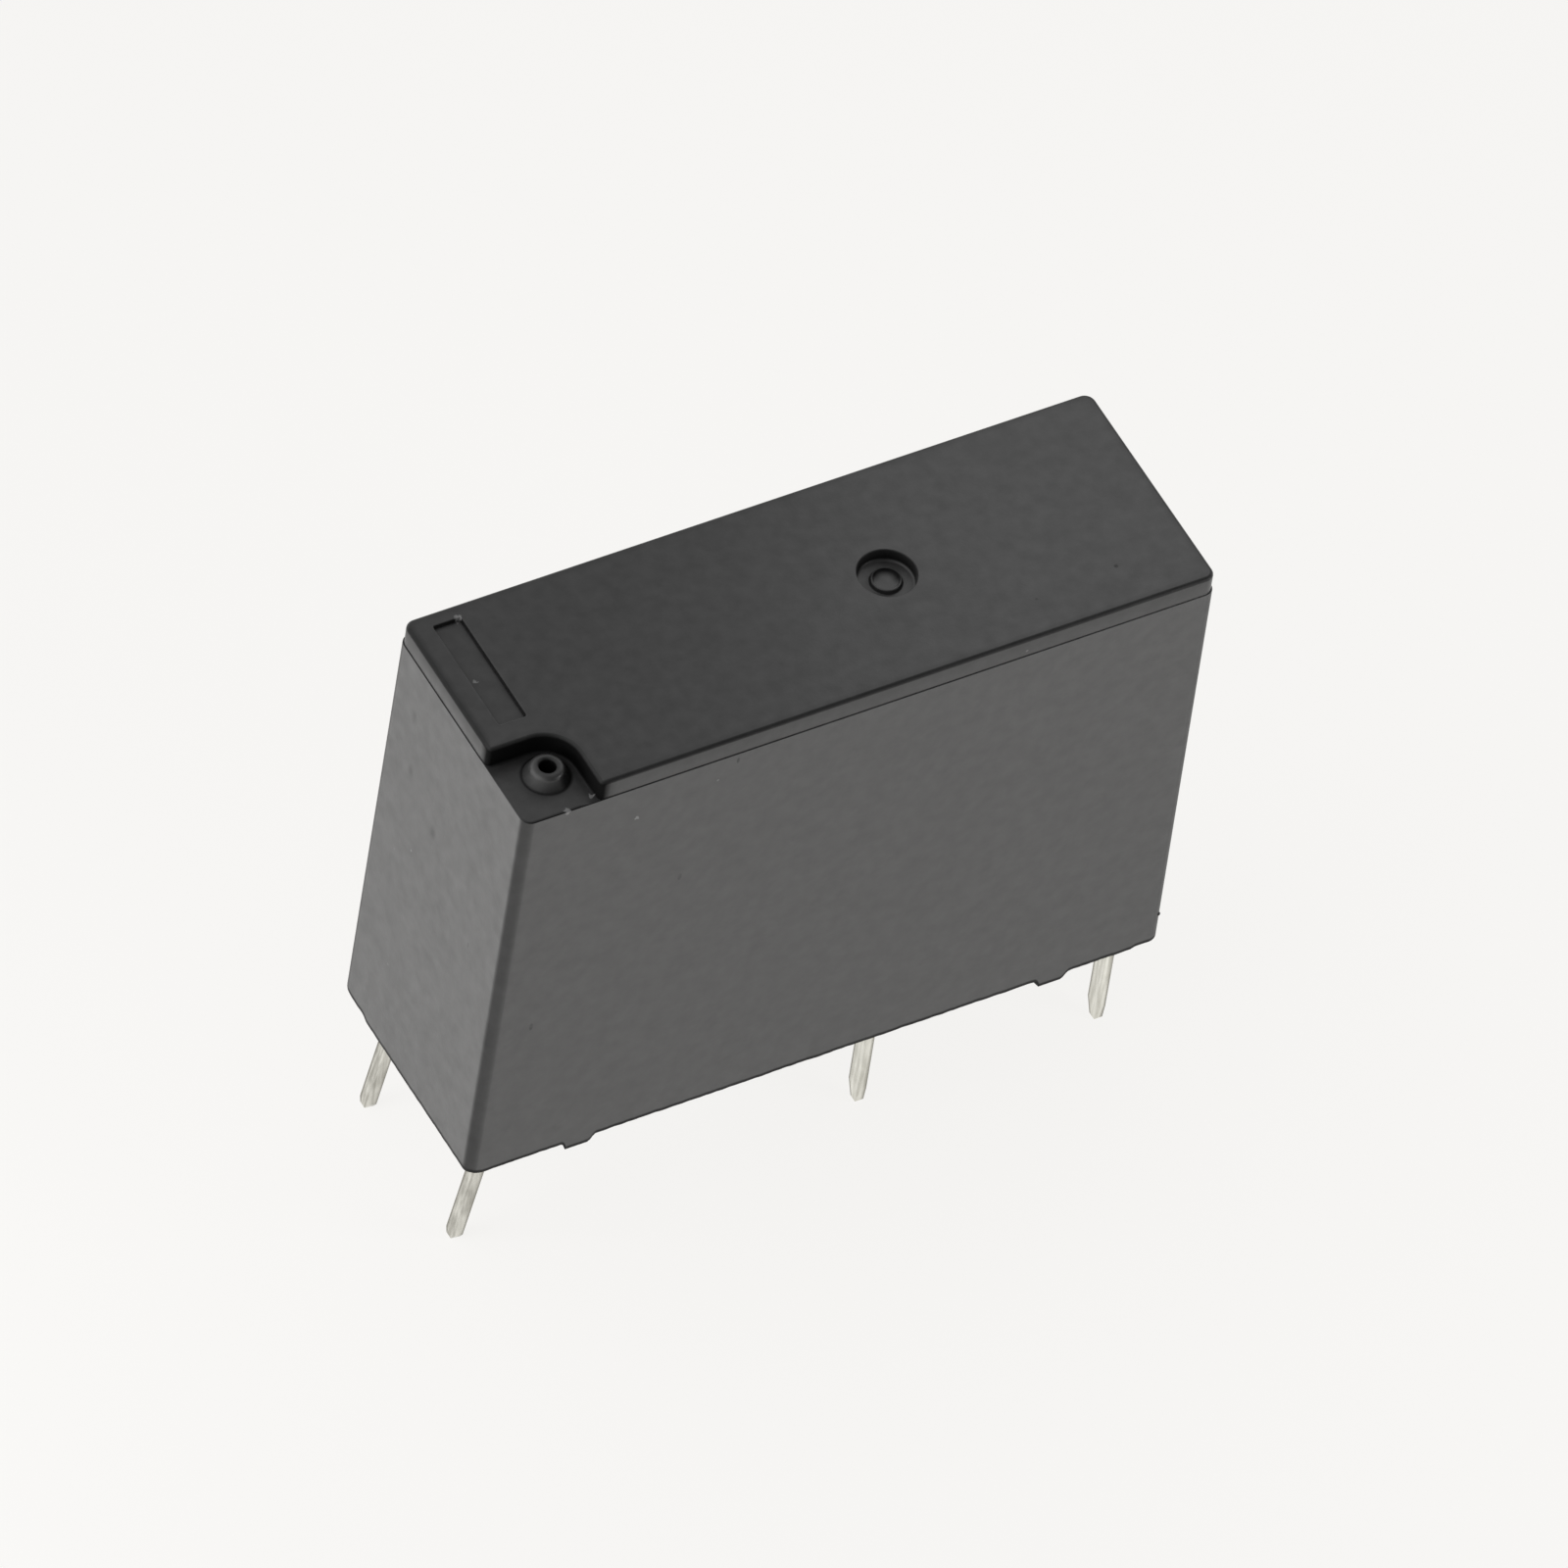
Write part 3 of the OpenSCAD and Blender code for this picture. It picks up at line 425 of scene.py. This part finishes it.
def band_rings():
    """Rings and shades of the band under the top: a fillet in the pocket, and the round top edge."""
    pocket = (POCKET_X, POCKET_Y, POCKET_CORNER_R, POCKET_R)
    half_l, half_w = STEP_HALF_L - BAND_STEP, HALF_W - BAND_STEP
    points = outline(pocketed_corners(half_l, half_w, pocket, CORNER_R, BAND_STEPS))
    # Radii of the foot and of the top edge, and the width of the top's margin, at each point
    tops = [towards_sides(point, POCKET_EDGE_R, TOP_EDGE_R) for point, normal in points]
    feet = []
    margins = []
    for point, normal in points:
        from_sides = min(point.x + half_l, point.y + half_w)
        fillet = towards_sides(point, POCKET_FILLET_R, 0.0) * smooth_step(from_sides / FILLET_FADE)
        feet.append(BAND_FOOT_R + fillet)
        inside = smooth_step((from_sides - MARGIN_START) / MARGIN_FADE)
        pocket_margin = POCKET_EDGE_R + MOUTH_MARGIN + INNER_MARGIN * inside
        margins.append(towards_sides(point, pocket_margin, TOP_MARGIN))

    def ring(radii, inset, lift, extra, z):
        return [
            (*(point - normal * (radius * inset + extra)), z + radius * lift)
            for (point, normal), radius in zip(points, radii)
        ]

    rings = [ring(feet, -1, 0, -LAND, Z_BAND)]
    rings += [ring(feet, -a, b, 0, Z_BAND) for a, b in quarter()]
    rings += [ring(tops, b, -a, 0, Z_TOP) for a, b in quarter(6)]
    rings += [ring(tops, 1, 0, LAND, Z_TOP), ring(margins, 1, 0, 0, Z_TOP)]
    shades = [
        [towards_sides(point, pocket_shade, side_shade(normal, *sides)) for point, normal in points]
        for pocket_shade, *sides in zip(POCKET_SHADES, NEAR_SHADES, LEFT_SHADES, BACK_SHADES)
    ]
    return rings, shades


def nub_profile():
    """Filleted foot, cone and rounded lip, then down the vent hole."""
    foot = 0.05
    lip = 0.16
    mouth = 0.07
    surround = 0.06
    tip = Z_BAND + NUB_H
    profile = [(NUB_R + foot + surround, Z_BAND)]
    profile += [(NUB_R + foot * a, Z_BAND + foot * b) for a, b in quarter()]
    profile += [(NUB_TIP_R + lip / 2 - lip * b, tip - lip * a) for a, b in quarter(6)]
    profile += [(VENT_R + mouth * a, tip - mouth * b) for a, b in quarter()]
    return profile + [(VENT_R, Z_LOW_CEILING)]


def gate_profile():
    """Dimple with a filleted floor and the stub that the broken-off gate left."""
    fillet = 0.08
    floor = Z_TOP - GATE_DEPTH
    stub = floor + STUB_H
    profile = [(GATE_R + FINE_R + LAND, Z_TOP)]
    profile += [(GATE_R + FINE_R * a, Z_TOP - FINE_R * b) for a, b in quarter()]
    profile += [(GATE_R - GATE_DRAFT - fillet * b, floor + fillet * a) for a, b in quarter()]
    profile += [(STUB_R + FINE_R * a, floor + FINE_R * b) for a, b in quarter()]
    profile += [(STUB_R - GATE_DRAFT - FINE_R * b, stub - FINE_R * a) for a, b in quarter()]
    return profile + [(radius, stub - depth) for radius, depth in STUB_HOLLOW]


def mark_rings():
    """Rings and shades of a shallow bar-shaped recess with a fine round edge, with painted shade on two
    walls.
    """
    points = outline(rectangle(MARK_X, MARK_Y, MARK_CORNER_R))
    rings = [flat_ring(points, -FINE_R - LAND, Z_TOP)]
    rings += [flat_ring(points, -FINE_R * a, Z_TOP - FINE_R * b) for a, b in quarter()]
    rings += [flat_ring(points, inset, Z_TOP - MARK_DEPTH) for inset in MARK_FLOOR_INSETS]
    shaded = [max(0.0, normal.x, normal.y) for point, normal in points]
    return rings, [[shade * s for s in shaded] for shade in MARK_SHADES]


def case_shell(material):
    """One closed mesh in place of the case's solid."""
    build = MeshBuilder()
    ceiling, ledge = build.loft(*wall_rings())
    band_foot, top = build.loft(*band_rings())
    # Painted shade round the nub's foot and down its vent, and on the far side of the gate's dimple
    nub_foot, vent = build.loft(lathe(NUB_X, NUB_Y, nub_profile()), NUB_SHADES)
    mark_edge, mark_floor = build.loft(*mark_rings())
    gate_shades = [[shade * far for far in far_sides()] for shade in GATE_SHADES]
    gate_edge, gate_middle = build.loft(lathe(GATE_X, 0, gate_profile()), gate_shades)
    build.fill(ledge, band_foot, nub_foot)
    build.fill(top, mark_edge, gate_edge)
    build.fill(mark_floor)
    build.fill(gate_middle)
    # Inside: a lower ceiling under the pocket, and the armature's stop
    half_l, half_w = STEP_HALF_L - WALL - FINE_R, HALF_W - WALL - FINE_R
    pocket = (POCKET_X + WALL, POCKET_Y + WALL, FINE_R, FINE_R)
    cavity = outline(pocketed_corners(half_l, half_w, pocket, FINE_R))
    cavity_edge, cavity_top = build.loft([flat_ring(cavity, 0, z) for z in (Z_LOW_CEILING, Z_CEILING)])
    stop = outline(rectangle(STOP_X, STOP_Y, FINE_R))
    stop_foot, stop_end = build.loft([flat_ring(stop, 0, z) for z in (Z_CEILING, STOP_Z)])
    build.fill(ceiling, cavity_edge, vent)
    build.fill(cavity_top, stop_foot)
    build.fill(stop_end)
    # Burr on the upright edge
    foot, tip = build.loft([
        [Vector(BURR) + Vector((out, wide * math.cos(k), wide * math.sin(k))) * BURR_R for k in BURR_TURNS]
        for wide, out in BURR_PROFILE
    ])
    build.fill(foot)
    build.fill(tip)
    shell = build.object("case_shell", material)
    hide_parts("case")
    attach(shell, "frame")


# Sealing resin

def seal(material):
    """Cast resin whose surface creeps up the walls and the pins."""
    low, high = (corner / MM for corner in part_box("sealing_resin"))
    count_x = round((high.x - low.x) / RESIN_GRID)
    count_y = round((high.y - low.y) / RESIN_GRID)

    def surface(x, y):
        to_wall = min(x - low.x, high.x - x, y - low.y, high.y - y)
        to_pin = min(math.hypot(x - pin_x, y - pin_y) for pin_x, pin_y in PIN_PLACES)
        creep = WALL_CREEP * math.exp(-to_wall / CREEP_REACH) + PIN_CREEP * math.exp(-to_pin / CREEP_REACH)
        return low.z - creep + RESIN_WAVES * noise.noise(Vector((x, y, 0.5)))

    build = MeshBuilder()
    xs = [low.x + (high.x - low.x) * i / count_x for i in range(count_x + 1)]
    ys = [low.y + (high.y - low.y) * j / count_y for j in range(count_y + 1)]
    rows = [build.ring([(x, y, surface(x, y)) for x in xs]) for y in ys]
    for row_a, row_b in zip(rows, rows[1:]):
        for i in range(count_x):
            build.bm.faces.new((row_a[i], row_a[i + 1], row_b[i + 1], row_b[i]))
    rim = rows[0] + [row[-1] for row in rows[1:]] + rows[-1][-2::-1] + [row[0] for row in rows[-2:0:-1]]
    back = build.ring([(v.co.x / MM, v.co.y / MM, high.z) for v in rim])
    build.bridge(rim, back)
    build.fill(back)
    resin = build.object("resin_seal", material)
    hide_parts("sealing_resin")
    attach(resin, "frame")


# Materials

class Finish:
    """A material on coordinates in the part's frame, with short calls for the nodes used here."""

    def __init__(self, name, **values):
        self.material = bpy.data.materials.new(name)
        self.material.use_nodes = True
        self.tree = self.material.node_tree
        self.shader = self.tree.nodes["Principled BSDF"]
        self.where = self.node("TexCoord").outputs["Object"]
        for key, value in values.items():
            self.shader.inputs[key.replace("_", " ")].default_value = value

    def node(self, kind, inputs=None, **settings):
        made = self.tree.nodes.new("ShaderNode" + kind)
        for key, value in settings.items():
            setattr(made, key, value)
        for key, value in (inputs or {}).items():
            if isinstance(value, bpy.types.NodeSocket):
                self.tree.links.new(value, made.inputs[key])
            else:
                made.inputs[key].default_value = value
        return made

    def link(self, value, socket):
        self.tree.links.new(value, self.shader.inputs[socket])

    def cells(self, size, stretch=(1, 1, 1)):
        """Coordinates on which one unit is the given size in millimetres."""
        scale = [s / (size * MM) for s in stretch]
        return self.node("Mapping", {"Vector": self.where, "Scale": scale}).outputs["Vector"]

    def grain(self, size, detail=2.0, stretch=(1, 1, 1)):
        inputs = {"Vector": self.cells(size, stretch), "Scale": 1.0, "Detail": detail}
        return self.node("TexNoise", inputs).outputs["Fac"]

    def spread(self, value, low, high, to_low, to_high):
        inputs = {"Value": value, "From Min": low, "From Max": high, "To Min": to_low, "To Max": to_high}
        return self.node("MapRange", inputs).outputs["Result"]

    def times(self, a, b):
        return self.node("Math", {0: a, 1: b}, operation="MULTIPLY").outputs[0]

    def plus(self, a, b):
        return self.node("Math", {0: a, 1: b}, operation="ADD").outputs[0]

    def larger(self, a, b):
        return self.node("Math", {0: a, 1: b}, operation="MAXIMUM").outputs[0]

    def mix(self, factor, a, b):
        inputs = {0: factor, 6: a, 7: b}
        return self.node("Mix", inputs, data_type="RGBA").outputs[2]

    def specks(self, spacing, radius, share, stretch=(1, 1, 1)):
        """1 inside scattered specks: one in each cell of the spacing, for a share of the cells."""
        voronoi = self.node("TexVoronoi", {"Vector": self.cells(spacing, stretch), "Scale": 1.0})
        reach = radius / spacing
        inside = self.spread(voronoi.outputs["Distance"], reach, reach * 0.6, 0.0, 1.0)
        chance = self.node("SeparateColor", {"Color": voronoi.outputs["Color"]}).outputs["Red"]
        return self.times(inside, self.spread(chance, share, share + 0.01, 1.0, 0.0))

    def spot(self, place, radius, stretch=(1, 1, 1), wobble=0.25, core=0.6):
        """1 inside a spot at a place in millimetres, ragged by the wobble, fading outside its core."""
        inputs = {"Vector": self.cells(0.12), "Scale": 1.0, "Detail": 3.0}
        shift = self.node("TexNoise", inputs).outputs["Color"]
        inputs = {0: shift, 1: [wobble * MM] * 3, 2: self.where}
        ragged = self.node("VectorMath", inputs, operation="MULTIPLY_ADD").outputs["Vector"]
        # The wobble's middle lies half of its width away
        centre = [(p + wobble / 2) * s * MM for p, s in zip(place, stretch)]
        scaled = self.node("VectorMath", {0: ragged, 1: stretch}, operation="MULTIPLY").outputs["Vector"]
        away = self.node("VectorMath", {0: scaled, 1: centre}, operation="DISTANCE").outputs["Value"]
        return self.spread(away, radius * MM, radius * core * MM, 0.0, 1.0)

    def far_edges(self, radius):
        """1 on edges within the radius in millimetres, apart from those between -X and -Y sides."""
        rounded = self.node("Bevel", {"Radius": radius * MM}, samples=8).outputs["Normal"]
        flat = self.node("NewGeometry").outputs["True Normal"]
        same = self.node("VectorMath", {0: rounded, 1: flat}, operation="DOT_PRODUCT").outputs["Value"]
        parts = self.node("SeparateXYZ", {"Vector": rounded}).outputs
        far = self.spread(self.larger(parts["X"], parts["Y"]), 0.02, 0.15, 0.0, 1.0)
        return self.times(self.spread(same, 0.998, 0.95, 0.0, 1.0), far)

    def bump(self, height, depth):
        """Relief of the given depth in millimetres."""
        inputs = {"Height": height, "Distance": depth * MM, "Strength": 1.0}
        self.link(self.node("Bump", inputs).outputs["Normal"], "Normal")


def grey(value):
    return (value, value, value, 1.0)


def case_plastic():
    """Fine-grained black moulding: dust, scuffs and light nicks, with painted shade in its corners,
    recesses and along edges.
    """
    finish = Finish("case_plastic", IOR=1.7)
    shade = finish.node("Attribute", attribute_name="shade").outputs["Fac"]
    mottle = finish.grain(0.4, detail=5.0)
    dust = finish.specks(1.5, 0.05, 0.3)
    scuff = finish.specks(1.3, 0.07, 0.3, stretch=(1, 1, 0.45))
    patchy = finish.spread(finish.grain(0.2), 0.3, 0.6, 0.3, 1.0)
    scuff = finish.times(scuff, patchy)
    for place in DARK_SCUFFS:
        smudge = finish.spot(place, 0.13, (1, 0.75, 0.4), wobble=0.06, core=0.1)
        scuff = finish.larger(scuff, finish.times(smudge, 0.6))
    nick = finish.spot(*NICKS[0])
    for place, radius in NICKS[1:]:
        nick = finish.larger(nick, finish.spot(place, radius))
    colour = finish.mix(finish.spread(mottle, 0.3, 0.7, 0.0, 1.0), grey(0.036), grey(0.056))
    colour = finish.mix(scuff, colour, grey(0.008))
    colour = finish.mix(finish.times(dust, 0.4), colour, grey(0.3))
    # Painted shade: darker in corners, recesses and along edges, from the mesh's shade layer
    colour = finish.mix(shade, colour, grey(0.006))
    colour = finish.mix(finish.times(nick, 0.8), colour, grey(0.3))
    finish.link(colour, "Base Color")
    rough = finish.spread(finish.grain(0.5, detail=5.0), 0.3, 0.7, 0.28, 0.38)
    # Where shade is painted, the surface is also rougher and its reflection weaker
    rough = finish.plus(rough, finish.times(shade, 0.25))
    finish.link(finish.plus(rough, finish.times(scuff, 0.25)), "Roughness")
    finish.link(finish.spread(shade, 0.0, 1.0, 0.5, 0.02), "Specular IOR Level")
    finish.bump(finish.grain(0.07, detail=3.0), 0.002)
    return finish.material


def plain_plastic(name, dark, light, roughness):
    """Moulding with a slight mottle and a fine grain."""
    finish = Finish(name, IOR=1.5)
    finish.link(finish.mix(finish.grain(0.8, detail=3.0), dark, light), "Base Color")
    rough = finish.spread(finish.grain(0.4), 0.3, 0.7, roughness - 0.05, roughness + 0.05)
    finish.link(rough, "Roughness")
    finish.bump(finish.grain(0.06), 0.001)
    return finish.material


def resin():
    """Cast epoxy: dark, glossy, with faint waves and pinholes."""
    finish = Finish("resin", IOR=1.55)
    finish.link(finish.mix(finish.grain(2.0), grey(0.012), (0.02, 0.02, 0.024, 1)), "Base Color")
    finish.link(finish.spread(finish.grain(0.6), 0.3, 0.7, 0.1, 0.2), "Roughness")
    finish.bump(finish.plus(finish.grain(1.5), finish.times(finish.specks(0.9, 0.07, 0.4), -1.0)), 0.01)
    return finish.material


def metal(name, dark, light, roughness, streak=(1, 1, 0.06)):
    """Rolled or plated metal: streaks along the strip and a slightly uneven gloss."""
    finish = Finish(name, Metallic=1.0)
    finish.link(finish.mix(finish.grain(0.35, detail=4.0), dark, light), "Base Color")
    streaks = finish.grain(0.05, stretch=streak)
    rough = finish.spread(streaks, 0.3, 0.7, roughness - 0.06, roughness + 0.08)
    finish.link(rough, "Roughness")
    finish.bump(finish.plus(streaks, finish.grain(0.3)), 0.002)
    return finish.material


def tinned(name, dark, light):
    """Tin plate on stamped pins: drawn streaks, painted shade along the edges apart from those between the
    -X and -Y sides, and a thin oxide tint.
    """
    finish = Finish(name, Metallic=1.0)
    streaks = finish.grain(0.1, detail=3.0, stretch=(1, 1, 0.08))
    clouds = finish.grain(0.5, detail=3.0)
    streaky = finish.spread(streaks, 0.35, 0.65, 0.0, 0.7)
    cloudy = finish.spread(clouds, 0.3, 0.7, 0.0, 0.3)
    colour = finish.mix(finish.plus(streaky, cloudy), dark, light)
    # Painted shade: darker along the edges, apart from those between the -X and -Y sides
    colour = finish.mix(finish.times(finish.far_edges(0.16), 0.8), colour, (0.2, 0.19, 0.16, 1))
    finish.link(colour, "Base Color")
    finish.link(finish.spread(streaks, 0.3, 0.7, 0.2, 0.32), "Roughness")
    finish.bump(streaks, 0.002)
    return finish.material


def copper_wire():
    """Enamelled wire: fine turns stacked along the coil."""
    finish = Finish("copper", Metallic=0.8, Coat_Weight=0.6, Coat_Roughness=0.15)
    wave = finish.node("TexWave", {"Vector": finish.cells(0.35), "Scale": 1.0, "Distortion": 0.4},
                       bands_direction="Z")
    turns = wave.outputs["Fac"]
    finish.link(finish.mix(turns, (0.28, 0.09, 0.03, 1), (0.62, 0.24, 0.09, 1)), "Base Color")
    finish.link(finish.spread(finish.grain(0.3), 0.3, 0.7, 0.25, 0.35), "Roughness")
    finish.bump(turns, 0.03)
    return finish.material


# Stage

def light_mask(tree):
    """1 for rays that show the background: camera, glossy and transmitted ones."""
    path = tree.nodes.new("ShaderNodeLightPath")
    total = path.outputs["Is Camera Ray"]
    for name in ("Is Glossy Ray", "Is Transmission Ray"):
        either = tree.nodes.new("ShaderNodeMath")
        either.operation = "MAXIMUM"
        tree.links.new(total, either.inputs[0])
        tree.links.new(path.outputs[name], either.inputs[1])
        total = either.outputs[0]
    return total


def floor_material():
    """White table: seen nearly white, with a share of its real light so that shadows stay."""
    material = bpy.data.materials.new("table")
    material.use_nodes = True
    tree = material.node_tree
    tree.nodes.clear()
    diffuse = tree.nodes.new("ShaderNodeBsdfDiffuse")
    diffuse.inputs["Color"].default_value = (0.86, 0.85, 0.84, 1)
    glow = tree.nodes.new("ShaderNodeEmission")
    glow.inputs["Color"].default_value = (0.99, 0.98, 0.962, 1)
    glow.inputs["Strength"].default_value = 1.0
    share = tree.nodes.new("ShaderNodeMath")
    share.operation = "MULTIPLY"
    share.inputs[1].default_value = TABLE_GLOW
    tree.links.new(light_mask(tree), share.inputs[0])
    seen = tree.nodes.new("ShaderNodeMixShader")
    tree.links.new(share.outputs[0], seen.inputs[0])
    tree.links.new(diffuse.outputs[0], seen.inputs[1])
    tree.links.new(glow.outputs[0], seen.inputs[2])
    # The table is seen through from below
    below = tree.nodes.new("ShaderNodeNewGeometry")
    clear = tree.nodes.new("ShaderNodeBsdfTransparent")
    one_sided = tree.nodes.new("ShaderNodeMixShader")
    tree.links.new(below.outputs["Backfacing"], one_sided.inputs[0])
    tree.links.new(seen.outputs[0], one_sided.inputs[1])
    tree.links.new(clear.outputs[0], one_sided.inputs[2])
    output = tree.nodes.new("ShaderNodeOutputMaterial")
    tree.links.new(one_sided.outputs[0], output.inputs["Surface"])
    return material


def floor():
    build = MeshBuilder()
    size = 600
    z = cad_box[0].z / MM
    build.bm.faces.new(build.ring([(-size, -size, z), (size, -size, z), (size, size, z), (-size, size, z)]))
    mesh = bpy.data.meshes.new("table")
    build.bm.to_mesh(mesh)
    build.bm.free()
    mesh.materials.append(floor_material())
    table = bpy.data.objects.new("table", mesh)
    bpy.context.scene.collection.objects.link(table)


def light_tent():
    """White surroundings that are darker in front and overhead, and brightest at the coil end."""
    world = bpy.data.worlds.new("tent")
    bpy.context.scene.world = world
    world.use_nodes = True
    tree = world.node_tree
    background = tree.nodes["Background"]
    direction = tree.nodes.new("ShaderNodeTexCoord").outputs["Generated"]

    def towards(axis, low, high, to_low, to_high):
        dot = tree.nodes.new("ShaderNodeVectorMath")
        dot.operation = "DOT_PRODUCT"
        tree.links.new(direction, dot.inputs[0])
        dot.inputs[1].default_value = Vector(axis).normalized()
        spread = tree.nodes.new("ShaderNodeMapRange")
        spread.interpolation_type = "SMOOTHSTEP"
        tree.links.new(dot.outputs["Value"], spread.inputs["Value"])
        for name, value in (("From Min", low), ("From Max", high), ("To Min", to_low), ("To Max", to_high)):
            spread.inputs[name].default_value = value
        return spread.outputs["Result"]

    def times(a, b):
        product = tree.nodes.new("ShaderNodeMath")
        product.operation = "MULTIPLY"
        tree.links.new(a, product.inputs[0])
        tree.links.new(b, product.inputs[1])
        return product.outputs[0]

    front = towards((0.3, -0.8, 0.5), 0.2, 0.8, 1.0, 0.12)
    coil_end = towards((-1, 0.2, 0.1), -0.5, 1.0, 0.55, 1.1)
    ceiling = towards((0.15, 0.35, 1.0), 0.5, 0.95, 1.0, 0.62)
    light = times(times(front, coil_end), ceiling)
    shown = tree.nodes.new("ShaderNodeMix")
    path = tree.nodes.new("ShaderNodeLightPath")
    tree.links.new(path.outputs["Is Camera Ray"], shown.inputs[0])
    tree.links.new(light, shown.inputs[2])
    shown.inputs[3].default_value = BACKDROP_TONE
    tree.links.new(shown.outputs[0], background.inputs["Strength"])
    background.inputs["Color"].default_value = (1, 1, 1, 1)


def soft_lamp(name, place, aim, size, watts, mirrored=True):
    """Square lamp at a place in millimetres, turned to its aim and out of the camera's sight."""
    data = bpy.data.lights.new(name, "AREA")
    data.size = size * MM
    data.energy = watts
    lamp = bpy.data.objects.new(name, data)
    lamp.location = Vector(place) * MM
    lamp.rotation_euler = (Vector(aim) - Vector(place)).to_track_quat("-Z", "Y").to_euler()
    lamp.visible_camera = False
    lamp.visible_glossy = mirrored
    bpy.context.scene.collection.objects.link(lamp)


def camera():
    azimuth, elevation, roll = (math.radians(a) for a in (VIEW_AZIMUTH, VIEW_ELEVATION, VIEW_ROLL))
    level = Vector((math.cos(azimuth), math.sin(azimuth), 0))
    ahead = Vector((-math.sin(azimuth), math.cos(azimuth), 0))
    back = Vector((0, 0, math.sin(elevation))) - ahead * math.cos(elevation)
    right = level * math.cos(roll) + back.cross(level) * math.sin(roll)
    up = back.cross(right)
    data = bpy.data.cameras.new("camera")
    data.sensor_width = 36
    data.lens = data.sensor_width / 2 / math.tan(math.radians(FIELD_OF_VIEW / 2))
    data.clip_start = 0.1
    data.clip_end = 10
    made = bpy.data.objects.new("camera", data)
    made.matrix_world = Matrix.Translation((Vector(VIEW_AIM) + back * VIEW_DISTANCE) * MM) @ Matrix(
        (right, up, back)
    ).transposed().to_4x4()
    bpy.context.scene.collection.objects.link(made)
    bpy.context.scene.camera = made


def dress(node, material, bevel=0.0):
    """Material for a CAD node, and a fine bevel in millimetres on its edges."""
    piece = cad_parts[node]
    piece.data.materials.clear()
    piece.data.materials.append(material)
    if bevel:
        edges = piece.modifiers.new("edges", "BEVEL")
        edges.width = bevel * MM
        edges.segments = 3
        edges.limit_method = "ANGLE"
        edges.angle_limit = math.radians(35)
        edges.use_clamp_overlap = True
    shade_smooth(piece, 35)


case_shell(case_plastic())
seal(resin())
iron = metal("magnet_iron", (0.42, 0.42, 0.41, 1), (0.6, 0.6, 0.59, 1), 0.3)
bright_tin = tinned("tinned_blades", (0.5, 0.49, 0.43, 1), (0.9, 0.89, 0.82, 1))
dull_tin = tinned("tinned_coil_pins", (0.36, 0.35, 0.31, 1), (0.78, 0.77, 0.71, 1))
bronze = metal("spring_bronze", (0.6, 0.36, 0.16, 1), (0.75, 0.5, 0.27, 1), 0.28, streak=(0.06, 1, 1))
silver = metal("contact_silver", (0.78, 0.77, 0.75, 1), (0.9, 0.89, 0.87, 1), 0.25)
copper = copper_wire()
dress("base", plain_plastic("base_plastic", grey(0.022), grey(0.036), 0.45), 0.04)
dress("bobbin", plain_plastic("bobbin_plastic", (0.68, 0.65, 0.55, 1), (0.78, 0.75, 0.65, 1), 0.4), 0.04)
dress("card", plain_plastic("card_plastic", grey(0.74), grey(0.82), 0.4), 0.04)
for node in ("coil_terminal_front", "coil_terminal_rear"):
    dress(node, dull_tin, 0.03)
for node in ("moving_terminal", "fixed_terminal"):
    dress(node, bright_tin, 0.03)
for node in ("core", "yoke", "armature"):
    dress(node, iron, 0.04)
for node in ("return_spring", "moving_spring", "spring_rivets"):
    dress(node, bronze, 0.02)
for node in ("moving_contact", "fixed_contact"):
    dress(node, silver, 0.05)
for node in ("coil_winding", "coil_lead_front", "coil_lead_rear"):
    dress(node, copper)
floor()
light_tent()
soft_lamp("front_right", (42, -40, 30), (8, -3, 7), 30, 0.008)
soft_lamp("back_right", (19, 14, 35), (9, 0, 14), 16, 0.0004)
soft_lamp("coil_end", (-58, 6, 9), (-10, 0, 7), 30, 0.021, mirrored=False)
camera()
bpy.context.scene.view_settings.view_transform = "Standard"
